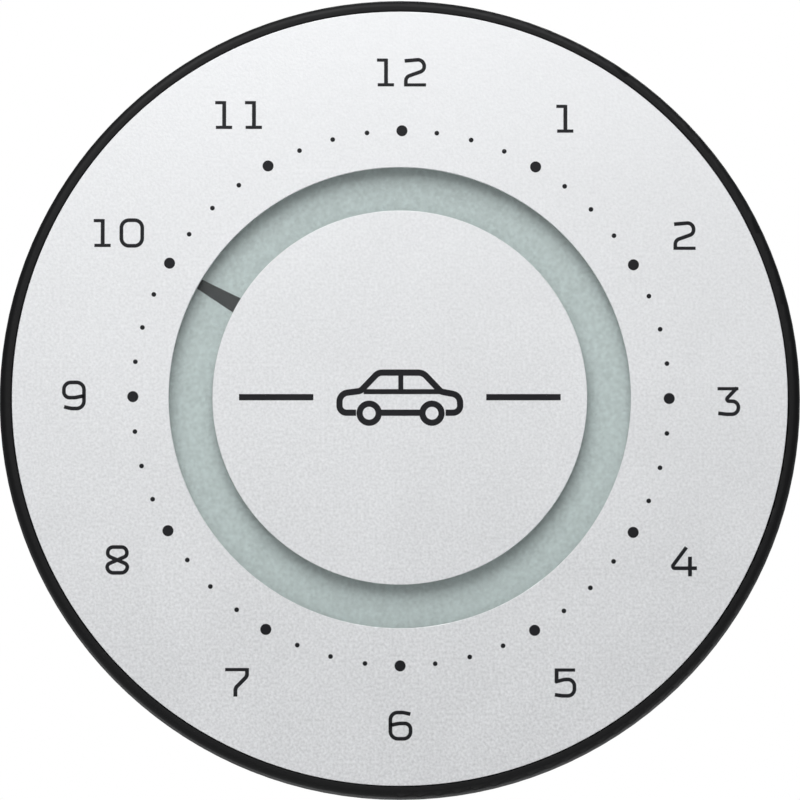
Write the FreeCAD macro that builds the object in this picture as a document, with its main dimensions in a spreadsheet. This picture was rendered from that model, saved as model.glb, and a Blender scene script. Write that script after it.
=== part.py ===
import FreeCAD, Part
import os

import Sketcher

# Electronic parking disc for the inside of a car's windscreen.
# Millimetres. The dial stands upright as in use: it faces -Y, twelve o'clock is +Z, and +X is to
# the right of someone reading it. The origin is the centre of the dial's front face, so every
# depth is counted from that face towards the driver, along +Y.

DIMENSIONS = [
    ("case_radius", 40.0, "outside radius of the case"),
    ("case_depth", 13.0, "dial face to rear face"),
    ("wall", 1.8, "side wall of the rear housing"),
    ("rear_wall", 1.6, "rear wall of the housing"),
    ("rear_edge_round", 2.0, "rounding of the housing's rear edge"),
    ("bezel_width", 1.32, "black rim seen around the dial"),
    ("bezel_split", 3.0, "depth of the joint between bezel and housing"),
    ("bezel_draft", 0.3, "rim narrower in front than at the joint"),
    ("housing_draft", 1.0, "housing narrower in the rear than at the joint"),
    ("lip_setback", 0.15, "rim behind the dial's face"),
    ("lip_round", 0.7, "rounding of the rim's outer edge"),
    ("lip_break", 0.12, "rounding of the rim's inner edge"),
    ("spigot_length", 2.0, "bezel spigot inside the housing"),
    ("spigot_wall", 1.15, "wall of that spigot"),
    ("spigot_gap", 0.15, "spigot to housing"),
    ("ledge_width", 3.9, "shelf that carries the lens"),
    ("ledge_thickness", 1.2, "thickness of that shelf"),
    ("split_break", 0.15, "chamfer along the joint line"),
    ("plate_thickness", 0.5, "dial plates"),
    ("plate_gap", 0.08, "dial plate to rim"),
    ("window_outer", 22.98, "outside radius of the ring window"),
    ("window_inner", 18.66, "inside radius of the ring window"),
    ("lens_thickness", 1.0, "clear front lens"),
    ("lens_gap", 0.1, "lens to rim"),
    ("air_gap", 0.2, "lens to display"),
    ("film_thickness", 0.2, "polariser and reflector films"),
    ("film_inset", 0.4, "film edge inside the glass edge"),
    ("glass_thickness", 0.7, "each display glass"),
    ("ring_glass_margin", 1.07, "glass beyond the ring window"),
    ("ring_corner_margin", 3.0, "cut glass corner beyond the ring window"),
    ("contact_ledge", 2.8, "glass ledge that the connector strip presses on"),
    ("strip_width", 1.8, "elastomeric connector strips"),
    ("ring_strip_margin", 0.8, "end of the ring display's strip inside its ledge"),
    ("strip_gap", 0.2, "connector strip to its slot"),
    ("carrier_wall", 1.2, "display carrier's wall"),
    ("carrier_floor", 1.0, "display carrier's floor"),
    ("carrier_opening", 15.0, "radius of the hole in that floor"),
    ("seat_gap", 0.05, "axial play where pieces seat"),
    ("glass_gap", 0.2, "display glass to its holder"),
    ("pin_radius", 1.0, "carrier's locating pins"),
    ("pin_gap", 0.05, "locating pin to circuit board"),
    ("pin_spacing", 42.0, "between the two locating pins"),
    ("pin_height", 14.0, "locating pins above the centre"),
    ("board_thickness", 1.0, "circuit board"),
    ("board_inset", 5.5, "circuit board's edge inside the case radius"),
    ("screw_count", 4, "housing screws"),
    ("screw_inset", 6.6, "screw circle inside the case radius"),
    ("screw_turn", 45.0, "first screw from twelve o'clock, degrees"),
    ("screw_radius", 1.0, "screw thread"),
    ("screw_length", 7.0, "screw below its head"),
    ("screw_head_radius", 1.9, "screw head"),
    ("screw_head_height", 1.3, "screw head"),
    ("screw_recess", 2.4, "length of the cross recess"),
    ("screw_recess_width", 0.5, "width of the cross recess"),
    ("screw_recess_depth", 0.6, "depth of the cross recess"),
    ("thread_gap", 0.02, "screw to pilot hole"),
    ("screw_gap", 0.2, "screw to housing"),
    ("pilot_floor", 0.5, "material in front of the pilot hole"),
    ("boss_radius", 2.4, "screw boss up to the board"),
    ("neck_wall", 0.7, "boss wall where it passes the board"),
    ("neck_gap", 0.15, "boss neck to board"),
    ("tube_wall", 0.8, "housing screw tube around the head"),
    ("cell_radius", 12.25, "coin cell, 24.5 mm across"),
    ("cell_height", 5.0, "coin cell"),
    ("cell_cap_inset", 1.1, "negative cap inside the can"),
    ("cell_cap_height", 0.35, "negative cap above the can's edge"),
    ("cell_round", 0.5, "rounding of the can"),
    ("cell_gap", 0.35, "cell to battery bay"),
    ("cell_play", 0.25, "cell to battery cover"),
    ("bay_top_gap", 8.8, "battery bay below the housing's top"),
    ("bay_wall", 1.2, "battery bay's wall"),
    ("bay_foot", 0.4, "battery bay to circuit board"),
    ("cover_thickness", 1.55, "battery cover's disc"),
    ("cover_flange", 0.75, "thickness of the cover's flange"),
    ("cover_gap", 0.15, "cover flange to housing"),
    ("spigot_ring", 0.65, "wall of the cover's inner ring"),
    ("flange_width", 1.8, "cover flange beyond its inner ring"),
    ("turn_gap", 0.2, "cover's inner ring and lugs to housing"),
    ("lug_count", 3, "bayonet lugs"),
    ("lug_width", 5.0, "bayonet lug"),
    ("lug_reach", 1.2, "lug beyond the cover's inner ring"),
    ("lug_thickness", 0.9, "bayonet lug"),
    ("lug_lock_angle", 40.0, "turn between locked and free, degrees"),
    ("lug_play", 0.1, "lug to rear wall"),
    ("notch_gap", 0.3, "lug to its notch, each side"),
    ("coin_slot_length", 16.0, "coin slot"),
    ("coin_slot_width", 2.0, "coin slot"),
    ("coin_slot_depth", 0.8, "coin slot"),
    ("index_radius", 0.45, "index marks of the battery cover"),
    ("index_depth", 0.25, "index marks of the battery cover"),
    ("index_inset", 1.6, "index mark inside or outside the cover's edge"),
    ("leaf_thickness", 0.25, "battery contacts"),
    ("leaf_width", 4.0, "battery contacts"),
    ("leaf_foot", 3.0, "soldered foot of a contact"),
    ("leaf_ramp", 2.5, "rising part of the negative contact"),
    ("leaf_pad", 3.0, "part that touches the cell"),
    ("leaf_reach", 2.05, "positive contact along the side of the can"),
    ("leaf_gap", 0.02, "positive contact to the cell's can"),
    ("leaf_slot_gap", 0.4, "contact to its slot in the bay"),
    ("holder_gap", 0.6, "rear display holder to the bay and to the buttons"),
    ("rear_window_width", 30.0, "rear window pane"),
    ("rear_window_height", 12.0, "rear window pane"),
    ("rear_window_thickness", 0.7, "rear window pane"),
    ("rear_window_border", 1.5, "edge that the pane is bonded on"),
    ("rear_window_round", 1.0, "corner radius of the pane"),
    ("rear_window_gap", 0.1, "pane to its recess"),
    ("rear_glass_width", 34.0, "rear display glass"),
    ("rear_glass_height", 12.0, "rear display glass without its ledge"),
    ("rear_holder_wall", 1.0, "rear display holder's wall"),
    ("rear_shelf", 1.5, "shelf under the rear display"),
    ("rear_strip_length", 26.0, "connector strip of the rear display"),
    ("button_pitch", 14.0, "between neighbouring buttons"),
    ("button_radius", 3.5, "button cap"),
    ("button_rise", 0.5, "button above the rear face"),
    ("button_round", 0.4, "rounding of the button cap"),
    ("button_gap", 0.2, "button to its hole"),
    ("button_flange", 0.7, "button's retaining flange beyond its cap"),
    ("button_flange_thickness", 0.9, "button's retaining flange"),
    ("button_stem", 1.6, "radius of the stem on the switch"),
    ("button_travel", 0.3, "press of a button"),
    ("switch_size", 6.0, "tactile switch, square"),
    ("switch_height", 3.3, "tactile switch without its plunger"),
    ("plunger_radius", 1.75, "switch plunger"),
    ("plunger_rise", 0.5, "plunger above its switch"),
    ("plunger_depth", 0.6, "plunger inside its switch"),
    ("plunger_gap", 0.08, "plunger to switch"),
    ("component_gap", 2.0, "between the board's components and the bay or the rear display"),
    ("chip_size", 10.0, "microcontroller, square"),
    ("chip_height", 1.4, "microcontroller"),
    ("sensor_size", 3.0, "accelerometer, square"),
    ("sensor_height", 1.0, "accelerometer"),
    ("crystal_radius", 1.0, "clock crystal"),
    ("crystal_length", 6.0, "clock crystal"),
    ("buzzer_radius", 6.0, "piezo buzzer"),
    ("buzzer_height", 2.5, "piezo buzzer"),
    ("buzzer_hole", 1.0, "sound hole of the buzzer"),
    ("capacitor_count", 5, "ceramic capacitors"),
    ("capacitor_length", 1.6, "ceramic capacitor"),
    ("capacitor_width", 0.8, "ceramic capacitor, also its height"),
    ("capacitor_pitch", 2.2, "between capacitors"),
]

# Depths and radii that follow from the sizes above, as formulas of the second sheet.
LAYOUT = [
    ("face_radius", "=dims.case_radius - dims.bezel_width", "pocket that holds plate and lens"),
    ("lip_radius", "=dims.case_radius - dims.bezel_draft", "rim at its front"),
    ("rear_radius", "=dims.case_radius - dims.housing_draft", "housing at its rear face"),
    ("housing_inside", "=dims.case_radius - dims.wall", "inside radius of the housing"),
    ("spigot_radius", "=housing_inside - dims.spigot_gap", "outside of the bezel's spigot"),
    ("ledge_inside", "=face_radius - dims.ledge_width", "inside of the lens shelf"),
    ("lens_rear", "=dims.plate_thickness + dims.lens_thickness", "rear face of the lens"),
    ("ledge_rear", "=lens_rear + dims.ledge_thickness", "rear face of the lens shelf"),
    ("spigot_rear", "=dims.bezel_split + dims.spigot_length", "end of the spigot"),
    ("display_front", "=lens_rear + dims.air_gap", "front of the ring display"),
    ("ring_glass_front", "=display_front + dims.film_thickness", "front glass"),
    ("ring_glass_seam", "=ring_glass_front + dims.glass_thickness", "between the two glasses"),
    ("ring_glass_rear", "=ring_glass_seam + dims.glass_thickness", "rear glass"),
    ("display_rear", "=ring_glass_rear + dims.film_thickness", "back of the ring display"),
    ("carrier_front", "=lens_rear + dims.seat_gap", "front edge of the carrier"),
    ("carrier_seat", "=display_rear + dims.seat_gap", "carrier's floor under the display"),
    ("board_front", "=carrier_seat + dims.carrier_floor", "circuit board"),
    ("board_rear", "=board_front + dims.board_thickness", "circuit board, components' side"),
    ("board_radius", "=dims.case_radius - dims.board_inset", "circuit board"),
    ("ring_glass", "=dims.window_outer + dims.ring_glass_margin", "half width of the ring glass"),
    ("ring_cut", "=2 * ring_glass - sqrt(2) * (dims.window_outer + dims.ring_corner_margin)",
     "cut corners of the ring glass"),
    ("ring_strip_drop", "=ring_glass + dims.contact_ledge / 2", "strip below the centre"),
    ("ring_strip_length", "=2 * (ring_glass - ring_cut - dims.ring_strip_margin)",
     "connector strip of the ring display"),
    ("screw_ring", "=dims.case_radius - dims.screw_inset", "radius of the screw circle"),
    ("screw_x", "=screw_ring * sin(dims.screw_turn)", "first screw"),
    ("screw_z", "=screw_ring * cos(dims.screw_turn)", "first screw"),
    ("pilot_front", "=lens_rear + dims.pilot_floor", "bottom of the pilot holes"),
    ("screw_tip", "=pilot_front + dims.seat_gap", "front end of the screws"),
    ("screw_seat", "=screw_tip + dims.screw_length", "under the screw heads"),
    ("neck_radius", "=dims.screw_radius + dims.thread_gap + dims.neck_wall", "boss neck"),
    ("neck_rear", "=board_rear - 2 * dims.seat_gap", "end of the boss neck"),
    ("head_bore", "=dims.screw_head_radius + dims.screw_gap", "counterbore of a screw"),
    ("tube_radius", "=head_bore + dims.tube_wall", "outside of a screw tube"),
    ("tube_front", "=board_rear + dims.seat_gap", "front end of the screw tubes"),
    ("wall_inside", "=dims.case_depth - dims.rear_wall", "inner face of the rear wall"),
    ("cover_inside", "=dims.case_depth - dims.cover_thickness", "cover's face over the cell"),
    ("flange_front", "=dims.case_depth - dims.cover_flange", "cover's flange"),
    ("recess_floor", "=flange_front - dims.seat_gap", "recess that the flange lies in"),
    ("cell_rear", "=cover_inside - dims.cell_play", "coin cell"),
    ("cell_front", "=cell_rear - dims.cell_height", "coin cell"),
    ("bay_inside", "=dims.cell_radius + dims.cell_gap", "battery bay"),
    ("bay_front", "=board_rear + dims.bay_foot", "battery bay"),
    ("ring_inside", "=bay_inside - dims.seat_gap", "inside of the cover's inner ring"),
    ("ring_outside", "=ring_inside + dims.spigot_ring", "outside of the cover's inner ring"),
    ("ring_middle", "=(ring_inside + ring_outside) / 2", "root of the lugs"),
    ("neck_bore", "=ring_outside + dims.turn_gap", "bore of the rear wall"),
    ("flange_radius", "=ring_outside + dims.flange_width", "battery cover"),
    ("lug_radius", "=ring_outside + dims.lug_reach", "outer face of a lug"),
    ("lug_corner", "=sqrt(lug_radius * lug_radius + dims.lug_width * dims.lug_width / 4)",
     "outer corner of a lug"),
    ("lug_rear", "=wall_inside - dims.lug_play", "face of a lug that holds the cover"),
    ("lug_front", "=lug_rear - dims.lug_thickness", "lugs and inner ring"),
    ("gallery_radius", "=lug_corner + dims.turn_gap", "space that the lugs turn in"),
    ("gallery_front", "=lug_front - dims.turn_gap", "floor of that space"),
    ("gallery_outside", "=gallery_radius + dims.bay_wall", "wall around that space"),
    ("gallery_foot", "=gallery_front - dims.bay_wall", "floor's other face"),
    ("bay_height", "=housing_inside - dims.bay_top_gap - gallery_outside",
     "battery bay above the centre"),
    ("upright_rear", "=cell_front + dims.cell_cap_height + dims.leaf_reach",
     "top of the positive contact"),
    ("upright_inside", "=dims.cell_radius + dims.leaf_gap", "positive contact at the can"),
    ("window_drop", "=gallery_outside - bay_height + dims.holder_gap + dims.rear_holder_wall"
     " + dims.glass_gap + dims.rear_glass_height / 2", "rear window below the centre"),
    ("rear_film_rear", "=wall_inside - dims.seat_gap", "rear display's outer film"),
    ("rear_glass_outer", "=rear_film_rear - dims.film_thickness", "rear display"),
    ("rear_glass_seam", "=rear_glass_outer - dims.glass_thickness", "rear display"),
    ("rear_glass_inner", "=rear_glass_seam - dims.glass_thickness", "rear display"),
    ("rear_film_front", "=rear_glass_inner - dims.film_thickness", "rear display"),
    ("rear_shelf_rear", "=rear_film_front - dims.seat_gap", "shelf under the rear display"),
    ("rear_ledge_centre", "=window_drop + (dims.rear_glass_height + dims.contact_ledge) / 2",
     "connector strip below the centre"),
    ("rear_holder_width", "=dims.rear_glass_width + 2 * (dims.glass_gap + dims.rear_holder_wall)",
     "rear display holder"),
    ("rear_pocket_width", "=dims.rear_glass_width + 2 * dims.glass_gap", "glass pocket"),
    ("rear_pocket_height", "=dims.rear_glass_height + dims.contact_ledge + 2 * dims.glass_gap",
     "glass pocket"),
    ("rear_holder_height", "=rear_pocket_height + 2 * dims.rear_holder_wall", "holder"),
    ("rear_holder_drop", "=window_drop + dims.contact_ledge / 2", "holder's centre"),
    ("button_flange_radius", "=dims.button_radius + dims.button_flange", "button flange"),
    ("button_drop", "=rear_holder_drop + rear_holder_height / 2 + dims.holder_gap"
     " + button_flange_radius", "buttons below the centre"),
    ("holder_top", "=rear_holder_height / 2 - rear_holder_drop", "rear display holder"),
    ("beside_bay", "=gallery_outside + dims.component_gap", "free board beside the bay"),
    ("beside_holder", "=rear_holder_width / 2 + dims.component_gap", "free board beside the holder"),
    ("above_holder", "=holder_top + dims.component_gap", "free board above the holder"),
    ("chip_x", "=beside_bay + dims.chip_size / 2", "microcontroller"),
    ("chip_z", "=above_holder + dims.chip_size / 2", "microcontroller"),
    ("buzzer_x", "=-beside_bay - dims.buzzer_radius", "piezo buzzer"),
    ("buzzer_z", "=above_holder + dims.buzzer_radius", "piezo buzzer"),
    ("sensor_x", "=beside_holder + dims.sensor_size / 2", "accelerometer"),
    ("sensor_z", "=holder_top - dims.sensor_size", "accelerometer"),
    ("crystal_x", "=-beside_holder - dims.crystal_radius", "clock crystal"),
    ("crystal_z", "=holder_top - dims.crystal_length", "clock crystal"),
    ("capacitor_x", "=beside_holder + dims.capacitor_width / 2", "first capacitor"),
    ("capacitor_z", "=-rear_holder_drop", "capacitors"),
    ("switch_rear", "=board_rear + dims.switch_height", "tactile switch"),
    ("plunger_front", "=switch_rear - dims.plunger_depth", "switch plunger"),
    ("plunger_rear", "=switch_rear + dims.plunger_rise", "where a button stands on its plunger"),
    ("plunger_well", "=plunger_front - dims.button_travel - dims.seat_gap", "plunger's bore"),
    ("flange_outer_face", "=wall_inside - dims.lug_play", "button flange behind the wall"),
    ("flange_inner_face", "=flange_outer_face - dims.button_flange_thickness", "button flange"),
    ("button_top", "=dims.case_depth + dims.button_rise", "button cap"),
]

SAME = 1e-4  # lengths closer than this are the same when an edge is looked up
FIRST_SCREW = {"x": "layout.screw_x", "z": "layout.screw_z"}

document = FreeCAD.newDocument("parking_disc")
nodes = []


# ---------------------------------------------------------------- sheets and sketches


def fill_sheet(name, rows):
    sheet = document.addObject("Spreadsheet::Sheet", name)
    for row, (alias, content, note) in enumerate(rows, start=1):
        sheet.set(f"A{row}", alias)
        sheet.set(f"B{row}", str(content))
        sheet.set(f"C{row}", note)
        sheet.setAlias(f"B{row}", alias)
    document.recompute()
    return sheet


def number(expression):
    """The present value of an expression of the two sheets."""
    return float(document.getObject("dims").evalExpression(expression))


def origin_feature(body, role):
    return next(item for item in body.Origin.OriginFeatures if item.Role == role)


def new_body(label):
    body = document.addObject("PartDesign::Body", label)
    body.Label = label
    nodes.append(body)
    return body


def new_sketch(body, name, role, offset):
    sketch = body.newObject("Sketcher::SketchObject", f"{body.Name}_{name}")
    sketch.AttachmentSupport = [(origin_feature(body, role), "")]
    sketch.MapMode = "FlatFace"
    for axis, expression in zip("xyz", offset):
        sketch.setExpression(f"AttachmentOffset.Base.{axis}", expression)
    return sketch


def face_sketch(body, name, depth, x="0", z="0"):
    """A sketch parallel to the dial at this depth, its own origin at (x, z)."""
    return new_sketch(body, name, "XZ_Plane", (x, z, f"-({depth})"))


def hold_vertex(sketch, line, vertex, x, y):
    for kind, axis, expression in (("DistanceX", -2, x), ("DistanceY", -1, y)):
        if expression == "0":
            sketch.addConstraint(Sketcher.Constraint("PointOnObject", line, vertex, axis))
            continue
        rule = Sketcher.Constraint(kind, -1, 1, line, vertex, number(expression))
        index = sketch.addConstraint(rule)
        sketch.setExpression(f"Constraints[{index}]", expression)


def draw_outline(sketch, points):
    """A closed outline of straight lines, every corner held by its two expressions."""
    corners = [FreeCAD.Vector(number(x), number(y), 0) for x, y in points]
    following = corners[1:] + corners[:1]
    first = sketch.GeometryCount
    for start, end in zip(corners, following):
        sketch.addGeometry(Part.LineSegment(start, end))
    for index, (x, y) in enumerate(points):
        after = first + (index + 1) % len(points)
        sketch.addConstraint(Sketcher.Constraint("Coincident", first + index, 2, after, 1))
        hold_vertex(sketch, first + index, 1, x, y)


def draw_circle(sketch, radius):
    circle = Part.Circle(FreeCAD.Vector(), FreeCAD.Vector(0, 0, 1), number(radius))
    index = sketch.addGeometry(circle)
    sketch.addConstraint(Sketcher.Constraint("Coincident", index, 3, -1, 1))
    rule = sketch.addConstraint(Sketcher.Constraint("Radius", index, number(radius)))
    sketch.setExpression(f"Constraints[{rule}]", radius)


def rectangle(width, height):
    """Corners of a rectangle about the sketch's origin."""
    half, tall = f"({width}) / 2", f"({height}) / 2"
    return [(f"-{half}", f"-{tall}"), (half, f"-{tall}"), (half, tall), (f"-{half}", tall)]


def cut_rectangle(side, top, bottom, cut):
    """Corners of a display glass: a rectangle with its four corners cut at 45 degrees."""
    return [
        (f"-({side}) + ({cut})", f"-({bottom})"),
        (f"({side}) - ({cut})", f"-({bottom})"),
        (f"{side}", f"-({bottom}) + ({cut})"),
        (f"{side}", f"({top}) - ({cut})"),
        (f"({side}) - ({cut})", f"{top}"),
        (f"-({side}) + ({cut})", f"{top}"),
        (f"-({side})", f"({top}) - ({cut})"),
        (f"-({side})", f"-({bottom}) + ({cut})"),
    ]


# ---------------------------------------------------------------- features


def turn(body, name, points, x="0", z="0"):
    """Revolve (radius, depth) corners about the line through (x, z) along Y."""
    sketch = new_sketch(body, name, "XY_Plane", (x, "0", z))
    draw_outline(sketch, points)
    feature = body.newObject("PartDesign::Revolution", f"{sketch.Name}_turned")
    feature.Profile = sketch
    feature.ReferenceAxis = (sketch, ["V_Axis"])
    feature.Angle = 360
    document.recompute()
    return feature


def pad(body, sketch, length):
    """Extrude a sketch away from the dial's face."""
    feature = body.newObject("PartDesign::Pad", f"{sketch.Name}_pad")
    feature.Profile = sketch
    feature.Reversed = True
    feature.setExpression("Length", length)
    document.recompute()
    return feature


def pocket(body, sketch, length):
    """Cut a sketch away from the dial's face, and make sure that it does cut."""
    before = body.Shape.Volume
    feature = body.newObject("PartDesign::Pocket", f"{sketch.Name}_pocket")
    feature.Profile = sketch
    feature.setExpression("Length", length)
    document.recompute()
    if body.Shape.Volume > before - SAME:
        raise RuntimeError(f"{feature.Name} cuts nothing")
    return feature


def bore(body, name, front, rear, radius, x="0", z="0"):
    sketch = face_sketch(body, name, front, x, z)
    draw_circle(sketch, radius)
    return pocket(body, sketch, f"({rear}) - ({front})")


def post(body, name, front, rear, radius, x="0", z="0"):
    sketch = face_sketch(body, name, front, x, z)
    draw_circle(sketch, radius)
    return pad(body, sketch, f"({rear}) - ({front})")


def repeat_round(body, features, count, axis):
    pattern = body.newObject("PartDesign::PolarPattern", f"{features[0].Name}_ring")
    pattern.Originals = features
    pattern.Axis = axis
    pattern.Angle = 360
    pattern.setExpression("Occurrences", count)
    body.Tip = pattern
    document.recompute()
    return pattern


def repeat_row(body, features, count, length):
    pattern = body.newObject("PartDesign::LinearPattern", f"{features[0].Name}_row")
    pattern.Originals = features
    pattern.Direction = (origin_feature(body, "X_Axis"), [""])
    pattern.setExpression("Length", length)
    pattern.Occurrences = count
    body.Tip = pattern
    document.recompute()
    return pattern


def dress_edges(body, kind, size_name, size, wanted):
    """Round or chamfer the edges of the body's last feature that the test picks."""
    base = body.Tip
    chosen = [f"Edge{i}" for i, edge in enumerate(base.Shape.Edges, start=1) if wanted(edge)]
    if not chosen:
        raise RuntimeError(f"{body.Name} has no edge to dress")
    feature = body.newObject(kind, f"{base.Name}_dressed")
    feature.Base = (base, chosen)
    feature.setExpression(size_name, size)
    document.recompute()
    return feature


def circle_at(radius, depth):
    """A test for the circular edges of this radius at this depth."""
    size, place = number(radius), number(depth)

    def wanted(edge):
        curve = edge.Curve
        if not isinstance(curve, Part.Circle):
            return False
        return abs(curve.Radius - size) < SAME and abs(curve.Center.y - place) < SAME

    return wanted


def along_depth(edge):
    """A test for straight edges that run along Y."""
    return isinstance(edge.Curve, Part.Line) and abs(edge.Curve.Direction.y) > 1 - SAME


def fillet(body, radius, wanted):
    return dress_edges(body, "PartDesign::Fillet", "Radius", radius, wanted)


def chamfer(body, size, wanted):
    return dress_edges(body, "PartDesign::Chamfer", "Size", size, wanted)


def block(name, x, front, z, width, depth, height):
    """A box whose front face is at this depth and whose middle is at (x, z)."""
    box = document.addObject("Part::Box", name)
    box.setExpression("Length", width)
    box.setExpression("Width", depth)
    box.setExpression("Height", height)
    box.setExpression("Placement.Base.x", f"({x}) - ({width}) / 2")
    box.setExpression("Placement.Base.y", front)
    box.setExpression("Placement.Base.z", f"({z}) - ({height}) / 2")
    return box


def rod(name, x, front, z, radius, length):
    """A cylinder along Y from this depth."""
    cylinder = document.addObject("Part::Cylinder", name)
    cylinder.Placement.Rotation = FreeCAD.Rotation(FreeCAD.Vector(1, 0, 0), -90)
    cylinder.setExpression("Radius", radius)
    cylinder.setExpression("Height", length)
    cylinder.setExpression("Placement.Base.x", x)
    cylinder.setExpression("Placement.Base.y", front)
    cylinder.setExpression("Placement.Base.z", z)
    return cylinder


def keep(item, label):
    """Make a finished object one of the disc's pieces."""
    item.Label = label
    nodes.append(item)
    return item


# ---------------------------------------------------------------- front of the case


def make_front_bezel():
    body = new_body("front_bezel")
    turn(body, "ring", [
        ("layout.lip_radius", "dims.lip_setback"),
        ("dims.case_radius", "dims.bezel_split"),
        ("layout.spigot_radius", "dims.bezel_split"),
        ("layout.spigot_radius", "layout.spigot_rear"),
        ("layout.spigot_radius - dims.spigot_wall", "layout.spigot_rear"),
        ("layout.spigot_radius - dims.spigot_wall", "layout.ledge_rear"),
        ("layout.ledge_inside", "layout.ledge_rear"),
        ("layout.ledge_inside", "layout.lens_rear"),
        ("layout.face_radius", "layout.lens_rear"),
        ("layout.face_radius", "dims.lip_setback"),
    ])
    fillet(body, "dims.lip_round", circle_at("layout.lip_radius", "dims.lip_setback"))
    fillet(body, "dims.lip_break", circle_at("layout.face_radius", "dims.lip_setback"))
    chamfer(body, "dims.split_break", circle_at("dims.case_radius", "dims.bezel_split"))
    boss = post(body, "boss", "layout.lens_rear", "layout.board_front", "dims.boss_radius",
                **FIRST_SCREW)
    neck = post(body, "neck", "layout.board_front", "layout.neck_rear", "layout.neck_radius",
                **FIRST_SCREW)
    pilot = bore(body, "pilot", "layout.pilot_front", "layout.neck_rear",
                 "dims.screw_radius + dims.thread_gap", **FIRST_SCREW)
    axis = (origin_feature(body, "Y_Axis"), [""])
    repeat_round(body, [boss, neck, pilot], "dims.screw_count", axis)


def make_dial_plates():
    outer = new_body("outer_dial_plate")
    turn(outer, "annulus", [
        ("dims.window_outer", "0"),
        ("layout.face_radius - dims.plate_gap", "0"),
        ("layout.face_radius - dims.plate_gap", "dims.plate_thickness"),
        ("dims.window_outer", "dims.plate_thickness"),
    ])
    centre = new_body("centre_dial_plate")
    turn(centre, "disc", [
        ("0", "0"),
        ("dims.window_inner", "0"),
        ("dims.window_inner", "dims.plate_thickness"),
        ("0", "dims.plate_thickness"),
    ])


def make_front_lens():
    body = new_body("front_lens")
    turn(body, "disc", [
        ("0", "dims.plate_thickness"),
        ("layout.face_radius - dims.lens_gap", "dims.plate_thickness"),
        ("layout.face_radius - dims.lens_gap", "layout.lens_rear"),
        ("0", "layout.lens_rear"),
    ])


# ---------------------------------------------------------------- ring display


def make_ring_layer(label, front, thickness, inset, ledge):
    body = new_body(label)
    side = f"layout.ring_glass - {inset}"
    sketch = face_sketch(body, "outline", front)
    draw_outline(sketch, cut_rectangle(side, side, f"{side} + {ledge}", "layout.ring_cut"))
    pad(body, sketch, thickness)


def make_ring_display():
    film, glass = "dims.film_thickness", "dims.glass_thickness"
    make_ring_layer("ring_display_polariser", "layout.display_front", film, "dims.film_inset", "0")
    make_ring_layer("ring_display_front_glass", "layout.ring_glass_front", glass, "0",
                    "dims.contact_ledge")
    make_ring_layer("ring_display_rear_glass", "layout.ring_glass_seam", glass, "0", "0")
    make_ring_layer("ring_display_reflector", "layout.ring_glass_rear", film, "dims.film_inset",
                    "0")
    strip = block("ring_strip", "0", "layout.ring_glass_seam", "-layout.ring_strip_drop",
                  "layout.ring_strip_length", "layout.board_front - layout.ring_glass_seam",
                  "dims.strip_width")
    keep(strip, "ring_display_connector_strip")


def make_display_carrier():
    body = new_body("display_carrier")
    room = "layout.ring_glass + dims.glass_gap"
    outside = f"{room} + dims.carrier_wall"
    shell = face_sketch(body, "shell", "layout.carrier_front")
    bottom = f"{outside} + dims.contact_ledge"
    draw_outline(shell, cut_rectangle(outside, outside, bottom, "layout.ring_cut"))
    pad(body, shell, "layout.board_front - layout.carrier_front")
    well = face_sketch(body, "well", "layout.carrier_front")
    draw_outline(well, cut_rectangle(room, room, f"{room} + dims.contact_ledge",
                                     "layout.ring_cut"))
    pocket(body, well, "layout.carrier_seat - layout.carrier_front")
    bore(body, "opening", "layout.carrier_seat", "layout.board_front", "dims.carrier_opening")
    slot = face_sketch(body, "slot", "layout.carrier_seat", z="-layout.ring_strip_drop")
    draw_outline(slot, rectangle("layout.ring_strip_length + 2 * dims.strip_gap",
                                 "dims.strip_width + 2 * dims.strip_gap"))
    pocket(body, slot, "dims.carrier_floor")
    pin = post(body, "pin", "layout.board_front", "layout.board_rear - dims.pin_gap",
               "dims.pin_radius", x="-dims.pin_spacing / 2", z="dims.pin_height")
    repeat_row(body, [pin], 2, "dims.pin_spacing")


# ---------------------------------------------------------------- circuit board


def make_circuit_board():
    body = new_body("circuit_board")
    turn(body, "disc", [
        ("0", "layout.board_front"),
        ("layout.board_radius", "layout.board_front"),
        ("layout.board_radius", "layout.board_rear"),
        ("0", "layout.board_rear"),
    ])
    hole = bore(body, "screw_hole", "layout.board_front", "layout.board_rear",
                "layout.neck_radius + dims.neck_gap", **FIRST_SCREW)
    repeat_round(body, [hole], "dims.screw_count", (origin_feature(body, "Y_Axis"), [""]))
    pin = bore(body, "pin_hole", "layout.board_front", "layout.board_rear",
               "dims.pin_radius + dims.pin_gap", x="-dims.pin_spacing / 2", z="dims.pin_height")
    repeat_row(body, [pin], 2, "dims.pin_spacing")


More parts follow.
